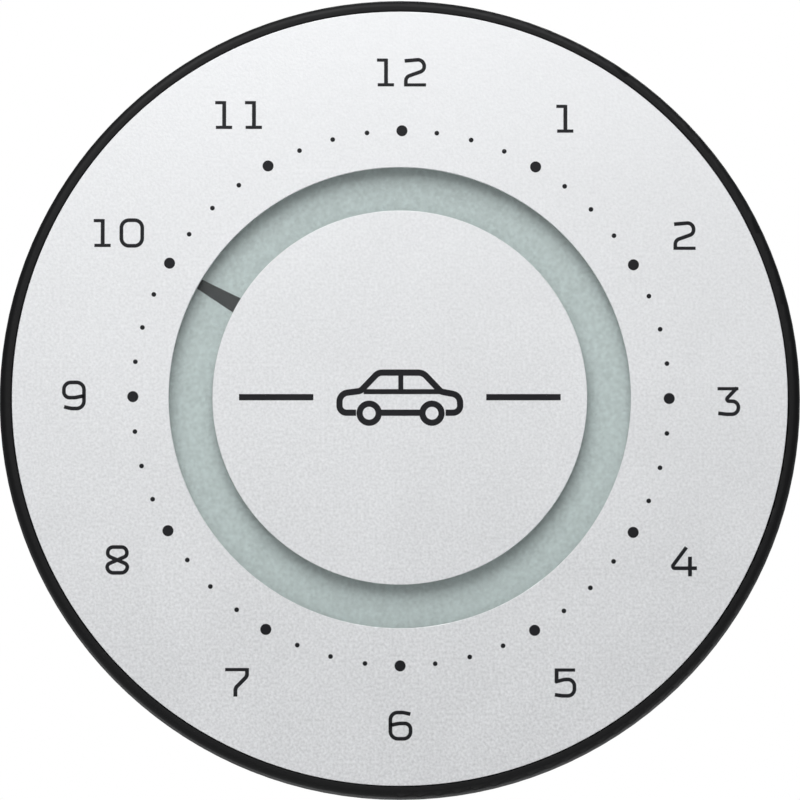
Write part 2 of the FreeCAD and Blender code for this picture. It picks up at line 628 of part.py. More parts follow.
def make_board_components():
    rear = "layout.board_rear"
    chip = block("chip", "layout.chip_x", rear, "layout.chip_z", "dims.chip_size",
                 "dims.chip_height", "dims.chip_size")
    keep(chip, "microcontroller")
    sensor = block("sensor", "layout.sensor_x", rear, "layout.sensor_z", "dims.sensor_size",
                   "dims.sensor_height", "dims.sensor_size")
    keep(sensor, "accelerometer")
    crystal = document.addObject("Part::Cylinder", "crystal")
    crystal.setExpression("Radius", "dims.crystal_radius")
    crystal.setExpression("Height", "dims.crystal_length")
    crystal.setExpression("Placement.Base.x", "layout.crystal_x")
    crystal.setExpression("Placement.Base.y", f"{rear} + dims.crystal_radius")
    crystal.setExpression("Placement.Base.z", "layout.crystal_z - dims.crystal_length / 2")
    keep(crystal, "clock_crystal")
    drum = rod("buzzer_drum", "layout.buzzer_x", rear, "layout.buzzer_z", "dims.buzzer_radius",
               "dims.buzzer_height")
    hole = rod("buzzer_mouth", "layout.buzzer_x", f"{rear} + dims.buzzer_height / 2",
               "layout.buzzer_z", "dims.buzzer_hole", "dims.buzzer_height")
    buzzer = document.addObject("Part::Cut", "buzzer")
    buzzer.Base = drum
    buzzer.Tool = hole
    keep(buzzer, "piezo_buzzer")
    capacitors = document.addObject("Part::Compound", "capacitors")
    capacitors.Links = [
        block(f"capacitor_{index + 1}", f"layout.capacitor_x + {index} * dims.capacitor_pitch",
              rear, "layout.capacitor_z", "dims.capacitor_width", "dims.capacitor_width",
              "dims.capacitor_length")
        for index in range(int(number("dims.capacitor_count")))
    ]
    keep(capacitors, "ceramic_capacitors")


# ---------------------------------------------------------------- battery


def make_coin_cell():
    body = new_body("coin_cell")
    cap = "dims.cell_radius - dims.cell_cap_inset"
    shoulder = "layout.cell_front + dims.cell_cap_height"
    turn(body, "can", [
        ("0", "layout.cell_front"),
        (cap, "layout.cell_front"),
        (cap, shoulder),
        ("dims.cell_radius", shoulder),
        ("dims.cell_radius", "layout.cell_rear"),
        ("0", "layout.cell_rear"),
    ], z="layout.bay_height")
    fillet(body, "dims.cell_round", circle_at("dims.cell_radius", "layout.cell_rear"))


def make_negative_contact():
    # a strip bent twice: a foot on the board, a ramp, and a pad against the cell's cap
    body = new_body("negative_contact")
    sketch = new_sketch(body, "profile", "YZ_Plane",
                        ("0", "layout.bay_height", "-dims.leaf_width / 2"))
    board, cell, strip = "layout.board_rear", "layout.cell_front", "dims.leaf_thickness"
    draw_outline(sketch, [
        (board, "-dims.leaf_ramp - dims.leaf_foot"),
        (board, "-dims.leaf_ramp"),
        (f"{cell} - {strip}", "0"),
        (f"{cell} - {strip}", "dims.leaf_pad"),
        (cell, "dims.leaf_pad"),
        (cell, "0"),
        (f"{board} + {strip}", "-dims.leaf_ramp"),
        (f"{board} + {strip}", "-dims.leaf_ramp - dims.leaf_foot"),
    ])
    feature = body.newObject("PartDesign::Pad", "negative_contact_strip")
    feature.Profile = sketch
    feature.setExpression("Length", "dims.leaf_width")
    document.recompute()


def make_positive_contact():
    # an angle: a foot on the board and an upright that presses on the side of the can
    body = new_body("positive_contact")
    sketch = new_sketch(body, "profile", "XY_Plane",
                        ("0", "0", "layout.bay_height - dims.leaf_width / 2"))
    board, inside, strip = "layout.board_rear", "layout.upright_inside", "dims.leaf_thickness"
    draw_outline(sketch, [
        (inside, board),
        (f"{inside} + dims.leaf_foot", board),
        (f"{inside} + dims.leaf_foot", f"{board} + {strip}"),
        (f"{inside} + {strip}", f"{board} + {strip}"),
        (f"{inside} + {strip}", "layout.upright_rear"),
        (inside, "layout.upright_rear"),
    ])
    feature = body.newObject("PartDesign::Pad", "positive_contact_strip")
    feature.Profile = sketch
    feature.setExpression("Length", "dims.leaf_width")
    document.recompute()


def make_battery_cover():
    body = new_body("battery_cover")
    turn(body, "disc", [
        ("0", "layout.cover_inside"),
        ("layout.ring_inside", "layout.cover_inside"),
        ("layout.ring_inside", "layout.lug_front"),
        ("layout.ring_outside", "layout.lug_front"),
        ("layout.ring_outside", "layout.flange_front"),
        ("layout.flange_radius", "layout.flange_front"),
        ("layout.flange_radius", "dims.case_depth"),
        ("0", "dims.case_depth"),
    ], z="layout.bay_height")
    chamfer(body, "dims.split_break", circle_at("layout.flange_radius", "dims.case_depth"))
    lug = face_sketch(body, "lug", "layout.lug_front", z="layout.bay_height")
    draw_outline(lug, [
        ("-dims.lug_width / 2", "layout.ring_middle"),
        ("dims.lug_width / 2", "layout.ring_middle"),
        ("dims.lug_width / 2", "layout.lug_radius"),
        ("-dims.lug_width / 2", "layout.lug_radius"),
    ])
    lug_pad = pad(body, lug, "dims.lug_thickness")
    repeat_round(body, [lug_pad], "dims.lug_count", (lug, ["N_Axis"]))
    slot = face_sketch(body, "coin_slot", "dims.case_depth - dims.coin_slot_depth",
                       z="layout.bay_height")
    draw_outline(slot, rectangle("dims.coin_slot_length", "dims.coin_slot_width"))
    pocket(body, slot, "dims.coin_slot_depth")
    bore(body, "index", "dims.case_depth - dims.index_depth", "dims.case_depth",
         "dims.index_radius", z="layout.bay_height + layout.flange_radius - dims.index_inset")


# ---------------------------------------------------------------- rear display


def make_rear_plate(label, front, thickness, inset, ledge):
    width = f"dims.rear_glass_width - 2 * {inset}"
    height = f"dims.rear_glass_height - 2 * {inset} + {ledge}"
    plate = block(f"{label}_plate", "0", front, f"-layout.window_drop - {ledge} / 2", width,
                  thickness, height)
    keep(plate, label)


def make_rear_display():
    film, glass = "dims.film_thickness", "dims.glass_thickness"
    make_rear_plate("rear_display_polariser", "layout.rear_glass_outer", film,
                    "dims.film_inset", "0")
    make_rear_plate("rear_display_outer_glass", "layout.rear_glass_seam", glass, "0",
                    "dims.contact_ledge")
    make_rear_plate("rear_display_inner_glass", "layout.rear_glass_inner", glass, "0", "0")
    make_rear_plate("rear_display_reflector", "layout.rear_film_front", film,
                    "dims.film_inset", "0")
    strip = block("rear_strip", "0", "layout.board_rear", "-layout.rear_ledge_centre",
                  "dims.rear_strip_length", "layout.rear_glass_seam - layout.board_rear",
                  "dims.strip_width")
    keep(strip, "rear_display_connector_strip")


def make_rear_display_holder():
    body = new_body("rear_display_holder")
    drop = "-layout.rear_holder_drop"
    frame = face_sketch(body, "frame", "layout.board_rear", z=drop)
    draw_outline(frame, rectangle("layout.rear_holder_width", "layout.rear_holder_height"))
    pad(body, frame, "layout.rear_film_rear - layout.board_rear")
    seat = face_sketch(body, "seat", "layout.rear_shelf_rear", z=drop)
    draw_outline(seat, rectangle("layout.rear_pocket_width", "layout.rear_pocket_height"))
    pocket(body, seat, "layout.rear_film_rear - layout.rear_shelf_rear")
    middle = face_sketch(body, "middle", "layout.board_rear", z="-layout.window_drop")
    draw_outline(middle, rectangle("dims.rear_glass_width - 2 * dims.rear_shelf",
                                   "dims.rear_glass_height - 2 * dims.rear_shelf"))
    pocket(body, middle, "layout.rear_shelf_rear - layout.board_rear")
    slot = face_sketch(body, "slot", "layout.board_rear", z="-layout.rear_ledge_centre")
    draw_outline(slot, rectangle("dims.rear_strip_length + 2 * dims.strip_gap",
                                 "dims.strip_width + 2 * dims.strip_gap"))
    pocket(body, slot, "layout.rear_shelf_rear - layout.board_rear")


def make_rear_window():
    body = new_body("rear_window")
    pane = face_sketch(body, "pane", "dims.case_depth - dims.rear_window_thickness",
                       z="-layout.window_drop")
    draw_outline(pane, rectangle("dims.rear_window_width", "dims.rear_window_height"))
    pad(body, pane, "dims.rear_window_thickness")
    fillet(body, "dims.rear_window_round", along_depth)


# ---------------------------------------------------------------- buttons and switches


BUTTONS = [("minus", -1), ("set", 0), ("plus", 1)]


def make_button(name, side):
    place = f"{side} * dims.button_pitch"
    body = new_body(f"{name}_button")
    turn(body, "cap", [
        ("0", "layout.plunger_rear"),
        ("dims.button_stem", "layout.plunger_rear"),
        ("dims.button_stem", "layout.flange_inner_face"),
        ("layout.button_flange_radius", "layout.flange_inner_face"),
        ("layout.button_flange_radius", "layout.flange_outer_face"),
        ("dims.button_radius", "layout.flange_outer_face"),
        ("dims.button_radius", "layout.button_top"),
        ("0", "layout.button_top"),
    ], x=place, z="-layout.button_drop")
    fillet(body, "dims.button_round", circle_at("dims.button_radius", "layout.button_top"))
    plunger = rod(f"{name}_plunger", place, "layout.plunger_front", "-layout.button_drop",
                  "dims.plunger_radius", "layout.plunger_rear - layout.plunger_front")
    keep(plunger, f"{name}_switch_plunger")
    shell = block(f"{name}_switch_block", place, "layout.board_rear", "-layout.button_drop",
                  "dims.switch_size", "dims.switch_height", "dims.switch_size")
    well = rod(f"{name}_switch_well", place, "layout.plunger_well", "-layout.button_drop",
               "dims.plunger_radius + dims.plunger_gap",
               "layout.switch_rear - layout.plunger_well + dims.plunger_rise")
    switch = document.addObject("Part::Cut", f"{name}_switch")
    switch.Base = shell
    switch.Tool = well
    keep(switch, f"{name}_switch_body")


# ---------------------------------------------------------------- rear housing


def make_housing_shell(body):
    turn(body, "shell", [
        ("layout.housing_inside", "dims.bezel_split"),
        ("dims.case_radius", "dims.bezel_split"),
        ("layout.rear_radius", "dims.case_depth"),
        ("0", "dims.case_depth"),
        ("0", "layout.wall_inside"),
        ("layout.housing_inside", "layout.wall_inside"),
    ])
    fillet(body, "dims.rear_edge_round", circle_at("layout.rear_radius", "dims.case_depth"))
    chamfer(body, "dims.split_break", circle_at("dims.case_radius", "dims.bezel_split"))


def make_housing_bay(body):
    # the cell's cup, and the wider gallery behind the rear wall that the cover's lugs turn in
    bay = "layout.bay_height"
    post(body, "gallery", "layout.gallery_foot", "layout.wall_inside", "layout.gallery_outside",
         z=bay)
    post(body, "cup", "layout.bay_front", "layout.gallery_foot",
         "layout.bay_inside + dims.bay_wall", z=bay)
    bore(body, "cell_bore", "layout.bay_front", "layout.gallery_front", "layout.bay_inside", z=bay)
    bore(body, "lug_bore", "layout.gallery_front", "layout.wall_inside", "layout.gallery_radius",
         z=bay)
    bore(body, "neck_bore", "layout.wall_inside", "layout.recess_floor", "layout.neck_bore", z=bay)
    bore(body, "flange_bore", "layout.recess_floor", "dims.case_depth",
         "layout.flange_radius + dims.cover_gap", z=bay)
    notch = face_sketch(body, "notch", "layout.wall_inside", z=bay)
    notch.setExpression("AttachmentOffset.Rotation.Angle", "-dims.lug_lock_angle")
    half = "dims.lug_width / 2 + dims.notch_gap"
    draw_outline(notch, [
        (f"-({half})", "layout.ring_middle"),
        (half, "layout.ring_middle"),
        (half, "layout.lug_radius + dims.notch_gap"),
        (f"-({half})", "layout.lug_radius + dims.notch_gap"),
    ])
    cut = pocket(body, notch, "layout.recess_floor - layout.wall_inside")
    repeat_round(body, [cut], "dims.lug_count", (notch, ["N_Axis"]))
    slot = face_sketch(body, "contact_slot", "layout.bay_front",
                       x="layout.bay_inside + dims.bay_wall / 2", z=bay)
    draw_outline(slot, rectangle("2 * dims.bay_wall",
                                 "dims.leaf_width + 2 * dims.leaf_slot_gap"))
    pocket(body, slot, "layout.upright_rear + dims.leaf_slot_gap - layout.bay_front")
    bore(body, "index", "dims.case_depth - dims.index_depth", "dims.case_depth",
         "dims.index_radius", z=f"{bay} + layout.flange_radius + dims.index_inset")


def make_housing_screw_tubes(body):
    tube = post(body, "tube", "layout.tube_front", "layout.wall_inside", "layout.tube_radius",
                **FIRST_SCREW)
    hole = bore(body, "screw_hole", "layout.tube_front", "layout.screw_seat",
                "dims.screw_radius + dims.screw_gap", **FIRST_SCREW)
    head = bore(body, "head_bore", "layout.screw_seat", "dims.case_depth", "layout.head_bore",
                **FIRST_SCREW)
    axis = (origin_feature(body, "Y_Axis"), [""])
    repeat_round(body, [tube, hole, head], "dims.screw_count", axis)


def make_housing_windows(body):
    gap = "2 * dims.rear_window_gap"
    recess = face_sketch(body, "recess", "dims.case_depth - dims.rear_window_thickness",
                         z="-layout.window_drop")
    draw_outline(recess, rectangle(f"dims.rear_window_width + {gap}",
                                   f"dims.rear_window_height + {gap}"))
    pocket(body, recess, "dims.rear_window_thickness")
    opening = face_sketch(body, "opening", "layout.wall_inside", z="-layout.window_drop")
    border = "2 * dims.rear_window_border"
    draw_outline(opening, rectangle(f"dims.rear_window_width - {border}",
                                    f"dims.rear_window_height - {border}"))
    pocket(body, opening, "dims.rear_wall")
    hole = bore(body, "button_hole", "layout.wall_inside", "dims.case_depth",
                "dims.button_radius + dims.button_gap", x="-dims.button_pitch",
                z="-layout.button_drop")
    repeat_row(body, [hole], len(BUTTONS), "2 * dims.button_pitch")


def make_rear_housing():
    body = new_body("rear_housing")
    make_housing_shell(body)
    make_housing_bay(body)
    make_housing_screw_tubes(body)
    make_housing_windows(body)


# ---------------------------------------------------------------- screws


def make_screw(index, count):
    """One pan-head screw with a cross recess, driven in from the rear."""
    angle = f"dims.screw_turn + {index} * 360 / {count}"
    x, z = f"layout.screw_ring * sin({angle})", f"layout.screw_ring * cos({angle})"
    name = f"screw_{index + 1}"
    head_rear = "layout.screw_seat + dims.screw_head_height"
    shank = rod(f"{name}_shank", x, "layout.screw_tip", z, "dims.screw_radius",
                "dims.screw_length")
    head = rod(f"{name}_head", x, "layout.screw_seat", z, "dims.screw_head_radius",
               "dims.screw_head_height")
    whole = document.addObject("Part::Fuse", f"{name}_blank")
    whole.Base = shank
    whole.Tool = head
    bottom = f"{head_rear} - dims.screw_recess_depth"
    wide = block(f"{name}_recess_a", x, bottom, z, "dims.screw_recess", "dims.screw_recess_depth",
                 "dims.screw_recess_width")
    tall = block(f"{name}_recess_b", x, bottom, z, "dims.screw_recess_width",
                 "dims.screw_recess_depth", "dims.screw_recess")
    cross = document.addObject("Part::Fuse", f"{name}_recess")
    cross.Base = wide
    cross.Tool = tall
    screw = document.addObject("Part::Cut", name)
    screw.Base = whole
    screw.Tool = cross
    return screw


def make_housing_screws():
    count = int(number("dims.screw_count"))
    group = document.addObject("Part::Compound", "screws")
    group.Links = [make_screw(index, count) for index in range(count)]
    keep(group, "housing_screws")


# ---------------------------------------------------------------- check and write


def check_and_write():
    document.recompute()
    for item in document.Objects:
        if {"Invalid", "Error"} & set(item.State):
            raise RuntimeError(f"{item.Name} failed: {item.State}")
    for node in nodes:
        if node.Shape.isNull() or not node.Shape.isValid():
            raise RuntimeError(f"{node.Label} has no valid shape")
    os.makedirs("parts", exist_ok=True)
    for node in nodes:
        node.Shape.exportStep(f"parts/{node.Label}.step")
        solids = len(node.Shape.Solids)
        print(f"{node.Label:32s} {solids} solid(s) {node.Shape.Volume:10.2f} mm3")


fill_sheet("dims", DIMENSIONS)
fill_sheet("layout", LAYOUT)
make_front_bezel()
make_dial_plates()
make_front_lens()
make_ring_display()
make_display_carrier()
make_circuit_board()
make_board_components()
make_coin_cell()
make_negative_contact()
make_positive_contact()
make_rear_display()
make_rear_display_holder()
make_rear_window()
for button, side in BUTTONS:
    make_button(button, side)
make_rear_housing()
make_battery_cover()
make_housing_screws()
check_and_write()
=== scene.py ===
"""Looks of a round electronic parking disc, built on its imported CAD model.

The dial faces -Y, twelve o'clock points to +Z and the reader's right is +X. Sizes in the
dataclasses are millimetres. They become metres when a piece is finished.
"""

import logging
import math
from abc import ABC, abstractmethod
from dataclasses import dataclass, field
from enum import Enum
from functools import cache
from typing import ClassVar

import bmesh
import bpy
from mathutils import Matrix, Vector


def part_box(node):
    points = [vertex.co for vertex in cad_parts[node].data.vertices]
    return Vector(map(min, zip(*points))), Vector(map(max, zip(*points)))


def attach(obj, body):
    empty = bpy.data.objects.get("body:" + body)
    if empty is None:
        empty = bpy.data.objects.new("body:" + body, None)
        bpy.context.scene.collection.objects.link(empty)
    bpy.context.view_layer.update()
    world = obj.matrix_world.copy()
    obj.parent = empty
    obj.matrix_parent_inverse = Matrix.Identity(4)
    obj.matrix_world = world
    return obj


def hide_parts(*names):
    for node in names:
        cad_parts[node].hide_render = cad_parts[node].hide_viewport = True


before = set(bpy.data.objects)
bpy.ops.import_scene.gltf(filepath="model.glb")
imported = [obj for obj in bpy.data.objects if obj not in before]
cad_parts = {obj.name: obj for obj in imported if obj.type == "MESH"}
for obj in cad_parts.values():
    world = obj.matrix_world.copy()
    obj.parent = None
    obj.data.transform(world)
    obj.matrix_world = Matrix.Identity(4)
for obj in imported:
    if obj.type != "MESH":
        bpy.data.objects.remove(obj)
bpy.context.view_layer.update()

LOG = logging.getLogger("parking_disc")
MM = 0.001
DIAL_AXIS = Vector((0.0, 1.0, 0.0))
TO_READER = Vector((0.0, -1.0, 0.0))

Colour = tuple[float, float, float]
NodeSocket = bpy.types.NodeSocket


# ---------------------------------------------------------------- places read from the CAD model


def low(node: str) -> Vector:
    """Gives a CAD node's lowest corner, in millimetres."""
    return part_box(node)[0] / MM


def high(node: str) -> Vector:
    """Gives a CAD node's highest corner, in millimetres."""
    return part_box(node)[1] / MM


def middle(node: str) -> Vector:
    """Gives the middle of a CAD node's box, in millimetres."""
    return (low(node) + high(node)) / 2


def reach(node: str) -> tuple[float, float]:
    """Measures how near to the dial's axis a CAD node comes and how far from it.

    Args:
        node: name of the CAD node.

    Returns:
        The smallest and largest distance of its vertices from the axis, in millimetres.
    """
    far = [math.hypot(v.co.x, v.co.z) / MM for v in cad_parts[node].data.vertices]
    return min(far), max(far)


# ---------------------------------------------------------------- shader tools


class Sheet:
    """A node tree that is filled by short calls."""

    def __init__(self, tree: bpy.types.NodeTree) -> None:
        """Keeps the tree that the calls fill."""
        self.tree = tree

    def add(self, kind: str, inputs: dict | None = None, **settings: object) -> bpy.types.Node:
        """Adds a node.

        Args:
            kind: Blender's type name, without its ShaderNode prefix.
            inputs: value or source socket for each named or numbered input.
            **settings: the node's own properties.

        Returns:
            The new node.
        """
        node = self.tree.nodes.new("ShaderNode" + kind)
        for name, value in settings.items():
            setattr(node, name, value)
        self.feed(node, inputs or {})
        return node

    def feed(self, node: bpy.types.Node, inputs: dict) -> None:
        """Sets or connects a node's inputs.

        Args:
            node: the node.
            inputs: value or source socket for each named or numbered input.
        """
        for name, value in inputs.items():
            if isinstance(value, NodeSocket):
                self.tree.links.new(value, node.inputs[name])
            else:
                node.inputs[name].default_value = value

    def place(self, group: bpy.types.NodeTree, **inputs: object) -> bpy.types.Node:
        """Places a shared group.

        Args:
            group: the group's node tree.
            **inputs: value or source socket for each input.

        Returns:
            The group node.
        """
        return self.add("Group", inputs, node_tree=group)

    def object_coordinates(self) -> NodeSocket:
        """Gives the socket of the piece's own coordinates."""
        return self.add("TexCoord").outputs["Object"]


class Socket(Enum):
    """Kinds of group socket."""

    NUMBER = "NodeSocketFloat"
    COLOUR = "NodeSocketColor"
    VECTOR = "NodeSocketVector"


def open_group(
    name: str, inputs: dict[str, Socket], outputs: dict[str, Socket]
) -> tuple[Sheet, bpy.types.Node, bpy.types.Node]:
    """Starts a shared shader group.

    Args:
        name: the group's name.
        inputs: kind of each input socket.
        outputs: kind of each output socket.

    Returns:
        The sheet to fill, its input node and its output node.
    """
    tree = bpy.data.node_groups.new(name, "ShaderNodeTree")
    for label, kind in inputs.items():
        tree.interface.new_socket(name=label, in_out="INPUT", socket_type=kind.value)
    for label, kind in outputs.items():
        tree.interface.new_socket(name=label, in_out="OUTPUT", socket_type=kind.value)
    enter = tree.nodes.new("NodeGroupInput")
    leave = tree.nodes.new("NodeGroupOutput")
    return Sheet(tree), enter, leave


@cache
def grain_group() -> bpy.types.NodeTree:
    """Builds the group for fine surface grain, which gives a normal.

    Returns:
        The group, with inputs Vector, Scale and Depth.
    """
    sheet, enter, leave = open_group(
        "fine_grain",
        {"Vector": Socket.VECTOR, "Scale": Socket.NUMBER, "Depth": Socket.NUMBER},
        {"Normal": Socket.VECTOR},
    )
    fine = sheet.add(
        "TexNoise",
        {"Vector": enter.outputs["Vector"], "Scale": enter.outputs["Scale"], "Detail": 3.0},
    )
    bump = sheet.add(
        "Bump",
        {"Strength": enter.outputs["Depth"], "Distance": 0.02 * MM, "Height": fine.outputs["Fac"]},
    )
    sheet.feed(leave, {"Normal": bump.outputs["Normal"]})
    return sheet.tree


@cache
def mottle_group() -> bpy.types.NodeTree:
    """Builds the group that lightens and darkens a colour in small patches.

    Returns:
        The group, with inputs Vector, Tone, Scale and Amount.
    """
    sheet, enter, leave = open_group(
        "mottle",
        {
            "Vector": Socket.VECTOR,
            "Tone": Socket.COLOUR,
            "Scale": Socket.NUMBER,
            "Amount": Socket.NUMBER,
        },
        {"Tone": Socket.COLOUR},
    )
    patch = sheet.add(
        "TexNoise",
        {"Vector": enter.outputs["Vector"], "Scale": enter.outputs["Scale"], "Detail": 4.0},
    )
    centred = sheet.add("Math", {0: patch.outputs["Fac"], 1: 0.5}, operation="SUBTRACT")
    swing = sheet.add(
        "Math", {0: centred.outputs[0], 1: enter.outputs["Amount"]}, operation="MULTIPLY"
    )
    factor = sheet.add("Math", {0: swing.outputs[0], 1: 1.0}, operation="ADD")
    tinted = sheet.add(
        "VectorMath", {0: enter.outputs["Tone"], "Scale": factor.outputs[0]}, operation="SCALE"
    )
    sheet.feed(leave, {"Tone": tinted.outputs[0]})
    return sheet.tree


@cache
def handling_group() -> bpy.types.NodeTree:
    """Builds the group for faint smudges, which change the roughness.

    Returns:
        The group, with inputs Vector, Roughness and Amount.
    """
    sheet, enter, leave = open_group(
        "handling",
        {"Vector": Socket.VECTOR, "Roughness": Socket.NUMBER, "Amount": Socket.NUMBER},
        {"Roughness": Socket.NUMBER},
    )
    smudge = sheet.add(
        "TexNoise",
        {"Vector": enter.outputs["Vector"], "Scale": 90.0, "Detail": 5.0, "Distortion": 0.6},
    )
    shaped = sheet.add(
        "MapRange",
        {"Value": smudge.outputs["Fac"], "From Min": 0.35, "From Max": 0.75},
        interpolation_type="SMOOTHSTEP",
    )
    more = sheet.add(
        "Math",
        {0: shaped.outputs["Result"], 1: enter.outputs["Amount"]},
        operation="MULTIPLY",
    )
    total = sheet.add(
        "Math", {0: enter.outputs["Roughness"], 1: more.outputs[0]}, operation="ADD", use_clamp=True
    )
    sheet.feed(leave, {"Roughness": total.outputs[0]})
    return sheet.tree


# ---------------------------------------------------------------- finishes


@dataclass(frozen=True)
class Finish(ABC):
    """A surface finish that becomes one material."""

    name: str
    tone: Colour
    roughness: float
    specular: float = field(default=0.5, kw_only=True)

    @cache
    def material(self) -> bpy.types.Material:
        """Builds the material once and gives it to every piece that asks."""
        made = bpy.data.materials.new(self.name)
        made.use_nodes = True
        made.node_tree.nodes.clear()
        sheet = Sheet(made.node_tree)
        plain = {
            "Base Color": (*self.tone, 1.0),
            "Roughness": self.roughness,
            "Specular IOR Level": self.specular,
        }
        shader = sheet.add("BsdfPrincipled", plain)
        sheet.feed(shader, self.fill(sheet, sheet.object_coordinates()))
        sheet.add("OutputMaterial", {"Surface": shader.outputs["BSDF"]})
        return made

    @abstractmethod
    def fill(self, sheet: Sheet, where: NodeSocket) -> dict[str, NodeSocket | float]:
        """Adds the finish's pattern.

        Args:
            sheet: the material's node tree.
            where: socket of the piece's own coordinates.

        Returns:
            The value or source socket for each input of the shader that the pattern drives.
        """

    def mottled(
        self,
        sheet: Sheet,
        where: NodeSocket,
        scale: float,
        amount: float | NodeSocket,
        tone: NodeSocket | None = None,
    ) -> NodeSocket:
        """Lightens and darkens a tone in small patches.

        Args:
            sheet: the material's node tree.
            where: socket of the piece's own coordinates.
            scale: patches per metre.
            amount: how much they differ.
            tone: socket of the tone, where it isn't the finish's own.

        Returns:
            The socket of the mottled tone.
        """
        under = tone or (*self.tone, 1.0)
        made = sheet.place(mottle_group(), Vector=where, Tone=under, Scale=scale, Amount=amount)
        return made.outputs["Tone"]

    def grained(self, sheet: Sheet, where: NodeSocket, scale: float, depth: float) -> NodeSocket:
        """Gives the normal of a fine grain with this scale and depth."""
        made = sheet.place(grain_group(), Vector=where, Scale=scale, Depth=depth)
        return made.outputs["Normal"]

    def handled(self, sheet: Sheet, where: NodeSocket, amount: float) -> NodeSocket:
        """Gives the finish's roughness with faint smudges of this amount."""
        made = sheet.place(
            handling_group(), Vector=where, Roughness=self.roughness, Amount=amount
        )
        return made.outputs["Roughness"]


@dataclass(frozen=True)
class Moulded(Finish):
    """Moulded plastic or rubber with a fine spark-eroded texture."""

    grain_scale: float = 5000.0
    grain_depth: float = 0.5
    patch_scale: float = 400.0
    patch_amount: float = 0.12
    smudge: float = 0.08

    def fill(self, sheet: Sheet, where: NodeSocket) -> dict[str, NodeSocket | float]:
        """Adds grain, patches and smudges."""
        return {
            "Base Color": self.mottled(sheet, where, self.patch_scale, self.patch_amount),
            "Normal": self.grained(sheet, where, self.grain_scale, self.grain_depth),
            "Roughness": self.handled(sheet, where, self.smudge),
        }


class Lay(Enum):
    """Which way the tool marks of a metal run."""

    BLASTED = (1.0, 1.0, 1.0)
    DRAWN_ALONG_X = (0.04, 1.0, 1.0)
    DRAWN_ALONG_Z = (1.0, 1.0, 0.04)


@dataclass(frozen=True)
class Metal(Finish):
    """Bare or plated metal with tool marks."""

    lay: Lay = Lay.BLASTED
    mark_scale: float = 4000.0
    mark_depth: float = 0.4
    stain_scale: float = 350.0
    stain: float = 0.1
    smudge: float = 0.12

    def fill(self, sheet: Sheet, where: NodeSocket) -> dict[str, NodeSocket | float]:
        """Adds tool marks, a faint stain and uneven gloss."""
        stretched = sheet.add("Mapping", {"Vector": where, "Scale": self.lay.value})
        along = stretched.outputs["Vector"]
        return {
            "Base Color": self.mottled(sheet, where, self.stain_scale, self.stain),
            "Normal": self.grained(sheet, along, self.mark_scale, self.mark_depth),
            "Roughness": self.handled(sheet, where, self.smudge),
            "Metallic": 1.0,
        }


@dataclass(frozen=True)
class SilverDial(Finish):
    """Silver dial sheet with a fine, slightly sparkling grain."""

    flake_scale: float = 3600.0
    flakes_and_painted_sparkle_above: float = 0.08
    flakes_and_painted_sparkle_below: float = 0.7
    drift_scale: float = 900.0
    drift_amount: float = 0.05
    grain_depth: float = 0.45
    smudge: float = 0.05
    metallic: float = 0.7
    half_height: float = 40.0

    def fill(self, sheet: Sheet, where: NodeSocket) -> dict[str, NodeSocket | float]:
        """Adds flakes over a broad drift, and the grain that they stand in.

        The flakes stand out more towards six o'clock. This is painted sparkle: their contrast grows
        downwards to stand in for how the light shows the grain, on top of the sheet's own flakes.
        """
        height = sheet.add("SeparateXYZ", {"Vector": where})
        # Painted sparkle: flake contrast ramps up towards six o'clock to stand in for how the light
        # shows the grain; the flakes themselves are the sheet's own grain.
        flake_and_painted_sparkle_contrast = sheet.add(
            "MapRange",
            {
                "Value": height.outputs["Z"],
                "From Min": -self.half_height * MM,
                "From Max": self.half_height * MM,
                "To Min": self.flakes_and_painted_sparkle_below,
                "To Max": self.flakes_and_painted_sparkle_above,
            },
        ).outputs["Result"]
        drift = self.mottled(sheet, where, self.drift_scale, self.drift_amount)
        return {
            "Base Color": self.mottled(sheet, where, self.flake_scale, flake_and_painted_sparkle_contrast, drift),
            "Normal": self.grained(sheet, where, self.flake_scale, self.grain_depth),
            "Roughness": self.handled(sheet, where, self.smudge),
            "Metallic": self.metallic,
        }


@dataclass(frozen=True)
class Ink(Finish):
    """Screen-printed ink, a little uneven."""

    patch_scale: float = 2500.0
    patch_amount: float = 0.5
    grain_scale: float = 6000.0
    grain_depth: float = 0.4
    smudge: float = 0.08

    def fill(self, sheet: Sheet, where: NodeSocket) -> dict[str, NodeSocket | float]:
        """Adds the ink's unevenness and its thin, rough skin."""
        return {
            "Base Color": self.mottled(sheet, where, self.patch_scale, self.patch_amount),
            "Normal": self.grained(sheet, where, self.grain_scale, self.grain_depth),
            "Roughness": self.handled(sheet, where, self.smudge),
        }


@dataclass(frozen=True)
class DisplayFilm(Finish):
    """Matt film over a reflective liquid-crystal display, finely mottled."""

    speck_scale: float = 2600.0
    speck_amount: float = 0.6
    cloud_scale: float = 1100.0
    cloud_amount: float = 0.04
    skin_depth: float = 0.3

    def fill(self, sheet: Sheet, where: NodeSocket) -> dict[str, NodeSocket | float]:
        """Adds specks over clouds, and the film's matt skin."""
        clouds = self.mottled(sheet, where, self.cloud_scale, self.cloud_amount)
        return {
            "Base Color": self.mottled(sheet, where, self.speck_scale, self.speck_amount, clouds),
            "Normal": self.grained(sheet, where, self.speck_scale, self.skin_depth),
        }


@dataclass(frozen=True)
class ClearPlate(Finish):
    """Clear plastic or glass that lets the light through to what lies behind."""

    body: float = 0.08
    smudge: float = 0.1

    def fill(self, sheet: Sheet, where: NodeSocket) -> dict[str, NodeSocket | float]:
        """Adds faint smudges, and the plate's small share of body."""
        return {"Roughness": self.handled(sheet, where, self.smudge), "Alpha": self.body}


